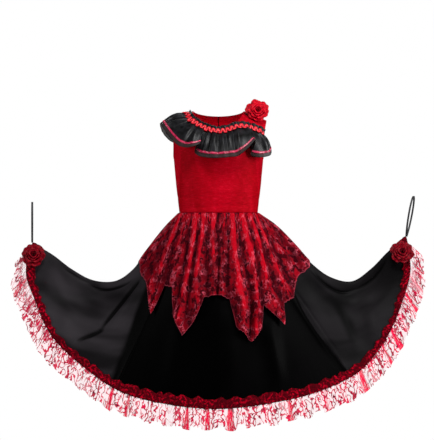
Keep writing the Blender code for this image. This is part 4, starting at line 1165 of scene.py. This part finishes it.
FlounceRow = namedtuple("FlounceRow", "root_x root_drop side edge_x edge_drop edge_y")
FLOUNCE = [FlounceRow(*row) for row in (
    (-0.086, 0.060, 1, -0.108, 0.080, 0.066), (-0.090, 0.038, 1, -0.134, 0.066, 0.056),
    (-0.090, 0.020, 1, -0.150, 0.046, 0.032), (-0.087, 0.000, 0, -0.154, 0.029, 0.000),
    (-0.0765, 0.018, -1, -0.148, 0.036, -0.036), (-0.068, 0.027, -1, -0.130, 0.062, -0.064),
    (-0.060, 0.033, -1, -0.106, 0.088, -0.090), (-0.052, 0.038, -1, -0.083, 0.096, -0.108),
    (-0.045, 0.0425, -1, -0.062, 0.093, -0.113), (-0.040, 0.045, -1, -0.047, 0.086, -0.106),
    (-0.0365, 0.046, -1, -0.054, 0.095, -0.096), (-0.033, 0.0475, -1, -0.062, 0.106, -0.087),
    (-0.027, 0.0495, -1, -0.050, 0.117, -0.094), (-0.017, 0.053, -1, -0.027, 0.122, -0.108),
    (0.000, 0.055, -1, -0.001, 0.123, -0.115), (0.020, 0.0525, -1, 0.027, 0.121, -0.115),
    (0.043, 0.0445, -1, 0.051, 0.117, -0.113), (0.056, 0.0415, -1, 0.074, 0.099, -0.112),
    (0.066, 0.042, -1, 0.094, 0.077, -0.102), (0.074, 0.0435, -1, 0.090, 0.096, -0.090),
    (0.082, 0.045, -1, 0.083, 0.114, -0.079), (0.092, 0.0475, -1, 0.107, 0.120, -0.078),
    (0.104, 0.0525, -1, 0.134, 0.113, -0.060), (0.114, 0.060, -1, 0.137, 0.094, -0.040),
)]


def over_torso(x, turn):
    """Point of the torso above the underarms, at x and a turn over the shoulder, front (-) to back (+)."""
    rise = np.abs(np.cos(turn)) ** (2 / SHOULDER_ROUNDNESS)
    z = -UNDERARM_DROP + (shoulder_height(x) + UNDERARM_DROP) * rise
    share = ramp(np.abs(x) / form_width(z))
    depth = form_depth(z) * (1 - share**SECTION_ROUNDNESS) ** (1 / SECTION_ROUNDNESS)
    return np.stack([x, depth * power(np.sin(turn), 2 / SHOULDER_ROUNDNESS), z], axis=-1)


def flounce_steps():
    """Places along the rows of FLOUNCE at which its columns lie."""
    last = len(FLOUNCE) - 1
    return np.arange(len(FLOUNCE)), np.linspace(0, last, last * FLOUNCE_STEPS_PER_ROW + 1)


def flounce_root():
    """Line on the torso along which the flounce is sewn, with the torso's outward direction at each point."""
    x = np.array([row.root_x for row in FLOUNCE])
    z = -np.array([row.root_drop for row in FLOUNCE])
    side = np.array([row.side for row in FLOUNCE])
    rise = ramp((z + UNDERARM_DROP) / (shoulder_height(x) + UNDERARM_DROP))
    turn = side * np.arccos(rise ** (SHOULDER_ROUNDNESS / 2))
    places, at = flounce_steps()
    x, turn = hermite(places, np.stack([x, turn], axis=1), at).T
    across = over_torso(x + SMALL, turn) - over_torso(x - SMALL, turn)
    over = over_torso(x, turn + SMALL) - over_torso(x, turn - SMALL)
    return over_torso(x, turn), unit(np.cross(across, over))


def flounce_grid(start, edge, outside):
    """Grid of the flounce from root to edge. Between the two it swells a little, and its gathers are waves
    that are tight at the root, fullest a third down and nearly gone at the ribbon."""
    down = downs(FLOUNCE_ROWS)
    swell = FLOUNCE_BULGE * np.sin(pi * down**BULGE_CURVE)
    grid = start * (1 - down[..., None]) + edge * down[..., None] + swell[..., None] * outside
    places = np.cumsum(np.linalg.norm(np.gradient(start, axis=0), axis=1))
    phase = GATHERS * places / places[-1] + GATHER_DRIFT * wander(places, 40, 3)
    bend = GATHER_BEND * np.sin(phase * GATHER_BEND_RATE) * down
    strength = np.clip(1 + 0.5 * wander(places, 41, 5), *GATHER_LIMITS)
    fine = np.cos(FINE_GATHER_RATE * tau * (phase - bend) + FINE_GATHER_START)
    gather = np.cos(tau * (phase + bend)) + FINE_GATHER * fine
    opened = GATHER_AT_ROOT + (1 - GATHER_AT_ROOT) * ramp(down / GATHER_FULLEST)
    fade = opened * ramp((1 - down) / 0.5) ** 0.7 + GATHER_AT_EDGE
    wave = GATHER_DEPTH * strength * gather * fade
    return grid + wave[..., None] * normals(grid)


def at_rows(grid, place):
    """Points of a grid at one place down its columns, as a number of rows that may lie between two."""
    row = int(place)
    return grid[row] * (1 - place + row) + grid[row + 1] * (place - row)


def flounce_finish():
    """Black satin with grey lights; past the ribbon it is a thin smoky band with a bound edge."""
    material, uv, shader = finish("black flounce satin", Specular_IOR_Level=0.17)
    place = mark(uv, "down")
    band = place.step(0.85, 0.87)
    rim = place.step(0.965, 0.98)
    cloudy = uv.noise(70.0, 3.0)
    silk = cloudy.step(0.3, 0.7).blend((0.001, 0.001, 0.001, 1), (0.012, 0.012, 0.014, 1))
    silk = band.blend(silk, (0.022, 0.015, 0.015, 1))
    feed(shader, "Base Color", rim.blend(silk, (0.006, 0.005, 0.005, 1)))
    threads = uv.grain(0.0012, 0.004, 3.0)
    feed(shader, "Roughness", 0.35 + threads * 0.06 + band * 0.18)
    feed(shader, "Alpha", 1 - band * (1 - rim) * 0.22)
    bump(shader, threads, 0.00004)
    return material


def ribbon_finish():
    """Pink-red satin ribbon with fine ribs across and woven edges."""
    material, uv, shader = finish("pink-red ribbon", Roughness=0.32, Specular_IOR_Level=0.4)
    edge = uv.part("Y").near(RIBBON_WIDTH / 2, 0.0016, 0.0022)
    bright = uv.noise(160.0).step(0.3, 0.65)
    body = bright.blend((0.20, 0.001, 0.025, 1), (0.50, 0.03, 0.09, 1))
    feed(shader, "Base Color", edge.blend(body, (0.35, 0.0, 0.03, 1)))
    ribs = uv.grain(0.0005, 0.01)
    bump(shader, ribs + edge, 0.0001)
    return material


root, root_outside = flounce_root()
places, at = flounce_steps()
edge = hermite(places, [(row.edge_x, row.edge_y, -row.edge_drop) for row in FLOUNCE], at)
start = root + root_outside * (CLOTH + 2 * SEAM)
frill = flounce_grid(start, edge, root_outside)
marks = {"down": np.broadcast_to(downs(FLOUNCE_ROWS), frill.shape[:2])}
satin = flounce_finish()
flounce = cloth("shoulder_flounce", [frill], FLOUNCE_WALL, satin, marks, gathered=True)

fall = np.linalg.norm(edge - start, axis=1)
lifted = frill + normals(frill) * (FLOUNCE_WALL + SEAM)
ribbon_rows = (RIBBON_PLACE + np.linspace(0, 1, 5) * RIBBON_WIDTH / fall.mean()) * FLOUNCE_ROWS
ribbon_grid = np.stack([at_rows(lifted, place) for place in ribbon_rows])
ribbon = cloth("flounce_ribbon", [ribbon_grid], RIBBON_WALL, ribbon_finish())
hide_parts("flounce_ribbon_left", "flounce_ribbon_middle", "flounce_ribbon_right")
sew(frill, ["shoulder_flounce"])

# Neck heading: a narrow black satin frill, gathered and sewn in with the flounce so that it
# stands above the line of stitches. The braid over the stitches is a bright red cord laid
# in loops on a flat tape, which is painted dark between the loops as shade in their openings.
HEADING_HEIGHT = 0.015
HEADING_WAVES = 16
HEADING_ROWS = 10
HEADING_LEAN = 0.003
HEADING_LEAN_CURVE = 1.2
HEADING_WAVE_DEPTH = 0.002
HEADING_FINE = 0.5
HEADING_FINE_RATE = 3.1
HEADING_FINE_START = 0.6
HEADING_UNEVEN = 0.10
HEADING_GAP = 0.0016
HEADING_WALL = 0.0006
BRAID_HALF_WIDTH = 0.0065
BRAID_CROWN = 0.0025
BRAID_CORD = 0.5
BRAID_TAPE = 0.35
BRAID_PITCH = 0.0126
BRAID_SWING = 0.62
BRAID_SQUARENESS = 1.5
BRAID_LIFT = 0.0017
BRAID_ROWS = 12
BRAID_WALL = 0.0010
BRAID_LOOP_OUT = 0.0012
FLOUNCE_FALL = 0.065


def heading_grid(start, up, outside):
    """Grid of the frill, top to root: it leans out, and its waves grow from the root to the top edge."""
    steps = np.linspace(0, 1, len(start))
    turn = HEADING_WAVES * tau * steps
    wave = np.sin(turn) + HEADING_FINE * np.sin(HEADING_FINE_RATE * turn + HEADING_FINE_START)
    rise = np.linspace(1, 0, HEADING_ROWS + 1)[:, None]
    top = HEADING_HEIGHT * (1 + HEADING_UNEVEN * wander(steps, 51, 12))
    height = HEADING_GAP + (top - HEADING_GAP) * rise
    lean = (HEADING_LEAN + HEADING_WAVE_DEPTH * wave) * rise**HEADING_LEAN_CURVE
    return start + height[..., None] * up + lean[..., None] * outside


def braid_grid(start, up, outside, falling):
    """Grid of the braid, and each point's distance from its cord in half widths of the braid: a flat arch
    from the heading to the flounce, with a raised cord that loops up and down along it."""
    places = np.cumsum(np.linalg.norm(np.gradient(start, axis=0), axis=1))
    loop = tau * places / BRAID_PITCH
    square = np.tanh(BRAID_SQUARENESS)
    swing = np.tanh(BRAID_SQUARENESS * np.cos(loop)) / square
    slope = BRAID_SQUARENESS * np.sin(loop) * (1 - (swing * square) ** 2) / square
    slope = slope * BRAID_SWING * BRAID_HALF_WIDTH * tau / BRAID_PITCH
    across = np.linspace(-1, 1, BRAID_ROWS + 1)[:, None]
    upper = up * (BRAID_HALF_WIDTH + BRAID_LOOP_OUT * swing)[:, None]
    lower = falling * (BRAID_HALF_WIDTH - BRAID_LOOP_OUT * swing)[:, None]
    spread = np.abs(across)[..., None] * np.where(across[..., None] < 0, upper, lower)
    cord = np.abs(across + BRAID_SWING * swing) / np.sqrt(1 + slope**2)
    arch = (1 - across**2) ** 0.5
    raised = BRAID_TAPE + (1 - BRAID_TAPE) * ramp(1 - cord / BRAID_CORD) ** 0.5
    lift = CLOTH + BRAID_LIFT + BRAID_CROWN * arch * raised
    return start + spread + lift[..., None] * outside, cord


def braid_finish():
    """Bright red cord in loops with a painted pink highlight on its crown, on a tape painted dark between the
    loops as shade in their openings.
    """
    material, uv, shader = finish("red looped braid", Roughness=0.42, Specular_IOR_Level=0.2)
    cord = mark(uv, "cord")
    # Painted shade: the tape between the loops is dark red, the cord bright red.
    body = cord.step(0.60, 0.38).blend((0.085, 0.0, 0.004, 1), (0.50, 0.002, 0.012, 1))
    # Painted highlight: pink on the crown of the cord.
    crown = cord.step(0.22, 0.04) * uv.noise(260.0).step(0.40, 0.62)
    feed(shader, "Base Color", crown.blend(body, (0.85, 0.09, 0.10, 1)))
    bump(shader, uv.grain(0.0006, 0.003, 2.0), 0.00015)
    return material


up = unit(np.cross(root_outside, unit(np.gradient(start, axis=0))))
heading = heading_grid(start, up, root_outside)
marks = {"down": np.broadcast_to(downs(HEADING_ROWS) / 2, heading.shape[:2])}
piece = cloth("neck_heading", [heading], HEADING_WALL, satin, marks)
sew(heading, ["neck_heading"])

falling = unit(at_rows(frill, FLOUNCE_ROWS * BRAID_HALF_WIDTH / FLOUNCE_FALL) - start)
braid, cord = braid_grid(start, up, root_outside, falling)
trim = slice(FLOUNCE_STEPS_PER_ROW // 3, -FLOUNCE_STEPS_PER_ROW // 3)
braid = braid[:, trim]
piece = cloth("neck_braid", [braid], BRAID_WALL, braid_finish(), {"cord": cord[:, trim]})
sew(braid, ["neck_braid"])

# Roses: red satin petals rolled round a tight heart and sewn to a small round backing. The
# bright one sits on the right shoulder, and two darker ones cover the ends of the hem.
ROSE_WALL = 0.00045
HEART_TURNS = 2.6
HEART_START = 0.0012
HEART_RADIUS = 0.0074
HEART_FLARE = 0.0011
HEART_SINK = 0.0016
HEART_FOOT = 0.010
HEART_TOP = 0.0205
BACKING_RADIUS = 0.017
BACKING_FOOT = 0.0008
BACKING_DOME = 0.002
BACKING_RIM = 0.3
PETAL_TURN = 10
PETAL_REACH = (0.90, 1.06)
PETAL_NARROWS = 0.80
PETAL_BELLY = 0.10
PETAL_ROLL = 0.64
PETAL_SLANT = 0.0008
PETAL_CUP = 0.0008
FRILL_WAVES = (2.4, 4.4)
FRILL_CURVE = 2.5
FRILL_OUT = 0.0011
FRILL_UP = 0.0016
PETAL_LIFT = 0.0012

PetalRing = namedtuple("PetalRing", "petals inner outer foot top half_width turn")
PETAL_RINGS = (
    PetalRing(3, 0.0050, 0.0125, 0.0085, 0.0205, 78, 20),
    PetalRing(4, 0.0080, 0.0180, 0.0055, 0.0178, 62, 65),
    PetalRing(5, 0.0110, 0.0245, 0.0025, 0.0140, 52, 10),
    PetalRing(6, 0.0130, 0.0310, 0.0008, 0.0088, 42, 40),
)

# The colours of a rose: its darker and lighter tones, mottled over the petals; the darker, dimmed further, is
# also painted as shade in its depths.
BRIGHT_RED = ((0.26, 0.0, 0.006), (0.62, 0.0, 0.012))
DARK_RED = ((0.06, 0.0, 0.003), (0.22, 0.0, 0.006))

RoseRow = namedtuple("RoseRow", "name seed centre facing colours")
ROSES = (
    RoseRow("shoulder_rose", 3, (0.1008, -0.0302, 0.0004), (0.10, -0.90, 0.30), BRIGHT_RED),
    RoseRow("rose_left", 5, (-0.4822, -0.0193, -0.3748), (0.02, -0.93, 0.33), DARK_RED),
    RoseRow("rose_right", 9, (0.4792, -0.0195, -0.3677), (-0.02, -0.93, 0.33), DARK_RED),
)


def turned(radius, angle, height):
    """Points at a radius and an angle round the axis of a rose, and a height along it."""
    return np.stack([radius * np.cos(angle), radius * np.sin(angle), height], axis=-1)


def rose_petal(ring, number, chance):
    """Grid of one petal, and each point's share of the way to its rim. The petal leaves its ring and cups
    outwards, and its rounded, frilled rim rolls over. Turn, reach and lift vary from petal to petal."""
    a = np.linspace(-1, 1, 19)[None]
    t = np.linspace(0, 1, 15)[:, None]
    turn = ring.turn + number * 360 / ring.petals + chance.uniform(-PETAL_TURN, PETAL_TURN)
    reach = ring.outer * chance.uniform(*PETAL_REACH)
    frill = np.sin(chance.uniform(*FRILL_WAVES) * a + chance.uniform(0, tau)) * t**FRILL_CURVE
    narrow = np.sqrt(1 - PETAL_NARROWS * ramp((t - 0.5) / 0.5) ** 2)
    angle = np.radians(turn + ring.half_width * a * narrow)
    radius = ring.inner + (reach - ring.inner) * (t**1.25 + PETAL_BELLY * t * (1 - a**2) - 0.08)
    radius = radius + PETAL_SLANT * a * t + FRILL_OUT * frill
    height = ring.foot + (ring.top - ring.foot) * np.sin(PETAL_ROLL * pi * t) - PETAL_CUP * (a * t) ** 2
    height = height + FRILL_UP * frill + chance.uniform(-PETAL_LIFT, PETAL_LIFT) * t
    return turned(radius, angle, height), np.broadcast_to(t, angle.shape)


def rose_heart():
    """Grid of the rolled heart: a strip wound in a spiral, flaring a little at its upper rim."""
    wound = np.linspace(0, 1, 90)[None]
    t = np.linspace(0, 1, 10)[:, None]
    radius = HEART_START + (HEART_RADIUS - HEART_START) * wound + HEART_FLARE * t**3
    height = HEART_FOOT + (HEART_TOP - HEART_FOOT) * t - HEART_SINK * wound * t
    return turned(radius, HEART_TURNS * tau * wound, height), np.broadcast_to(t, radius.shape)


def rose_backing():
    """Grid of the round backing, closed at its middle."""
    angle = np.linspace(0, tau, 33)[None]
    t = np.linspace(0.001, 1, 6)[:, None]
    radius = BACKING_RADIUS * t * np.ones_like(angle)
    height = BACKING_FOOT + BACKING_DOME * (1 - t) + 0 * angle
    return turned(radius, angle, height), np.full_like(radius, BACKING_RIM)


def rose_finish(name, dark, light):
    """Satin petals, light on their faces, with painted shade in their depths, and darker along their rims."""
    material, uv, shader = finish(name, Roughness=0.45, Specular_IOR_Level=0.06)
    place = mark(uv, "rim")
    face = uv.noise(180.0, 3.0).step(0.3, 0.7).blend((*dark, 1), (*light, 1))
    # Painted shade: darker towards the foot of each petal and of the heart, in the depths of the rose.
    face = place.step(0.15, 0.6).blend((*(value * 0.6 for value in dark), 1), face)
    feed(shader, "Base Color", (place.step(0.93, 0.99) * 0.6).blend(face, (0.05, 0.0, 0.004, 1)))
    bump(shader, uv.grain(0.0008, 0.004, 3.0), 0.0002)
    return material


for rose in ROSES:
    facing = Vector(rose.facing).normalized()
    side = Vector((0, 0, 1)).cross(facing).normalized()
    axes = np.array([side, facing.cross(side), facing])
    chance = np.random.default_rng(rose.seed)
    parts = [rose_petal(ring, number, chance) for ring in PETAL_RINGS for number in range(ring.petals)]
    parts = parts + [rose_heart(), rose_backing()]
    grids = [grid @ axes + np.array(rose.centre) for grid, rim in parts]
    satin = rose_finish(rose.name + " satin", *rose.colours)
    marks = {"rim": [rim for grid, rim in parts]}
    piece = cloth(rose.name, grids, ROSE_WALL, satin, marks, offset=0.0)
    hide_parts(rose.name)

# Hand loops: narrow black elastic, bent into a long teardrop and caught with both its ends
# at the top of each side hem. The wearer's hands hold the skirt out by them.
LOOP_HEIGHT = 0.106
LOOP_WIDTH = 0.046
LOOP_TAPE = 0.005
LOOP_END_APART = 0.0016
LOOP_CAUGHT_TO = 0.02
LOOP_STEPS = 120
LOOP_SECTION = 16
LOOP_SQUARENESS = 0.6
LOOP_CLOSED = 0.02

LoopRow = namedtuple("LoopRow", "name foot lean turn")
LOOPS = (
    LoopRow("loop_left", (-0.490, 0.0, -0.3404), 0.0, -7),
    LoopRow("loop_right", (0.494, 0.0, -0.3250), 0.18, 20),
)


def loop_grid(loop):
    """Grid of one loop: a flat section with round edges carried along a teardrop, closed at both ends."""
    share = np.linspace(0, 1, LOOP_STEPS + 1)
    swing = pi * (2 * share - 1)
    width = LOOP_WIDTH / 2 * np.sin(swing) * np.cos(swing / 2) ** 0.5
    rise = LOOP_HEIGHT * (0.5 + 0.5 * np.cos(swing))
    apart = LOOP_END_APART * ramp(1 - rise / LOOP_CAUGHT_TO)
    width = np.where(swing < 0, np.minimum(width, -apart), np.maximum(width, apart))
    turn = radians(loop.turn)
    across = np.array([sin(turn), cos(turn), 0])
    tape = np.array([cos(turn), -sin(turn), 0])
    centre = np.array(loop.foot) + width[:, None] * across + rise[:, None] * np.array([loop.lean, 0, 1])
    out = unit(np.cross(np.gradient(centre, axis=0), tape))
    if out[LOOP_STEPS // 2, 2] < 0:
        out = -out
    around = np.linspace(0, tau, LOOP_SECTION + 1)
    size = np.ones((LOOP_STEPS + 1, 1))
    size[0] = size[-1] = LOOP_CLOSED
    flat = LOOP_TAPE / 2 * power(np.cos(around), LOOP_SQUARENESS) * size
    thick = CLOTH / 2 * (1 + power(np.sin(around), LOOP_SQUARENESS) * size)
    return centre[:, None] + flat[..., None] * tape + thick[..., None] * out[:, None]


def elastic_finish():
    """Black knitted elastic: fine ribs along the tape and loops of thread across it."""
    material, uv, shader = finish("black elastic", Roughness=0.6, Specular_IOR_Level=0.4)
    ribs = uv.scaled(1 / 0.0012, 1 / 0.0006).cells("F1", 0.2, "Distance")
    feed(shader, "Base Color", ribs.blend((0.016, 0.016, 0.018, 1), (0.005, 0.005, 0.006, 1)))
    bump(shader, 1 - ribs, 0.0002)
    return material


elastic = elastic_finish()
for loop in LOOPS:
    tape = loop_grid(loop)
    flat = np.stack(grid_lengths(tape), axis=-1)
    piece = surface(loop.name, "_elastic", [tape], [flat], elastic)
    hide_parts(loop.name)
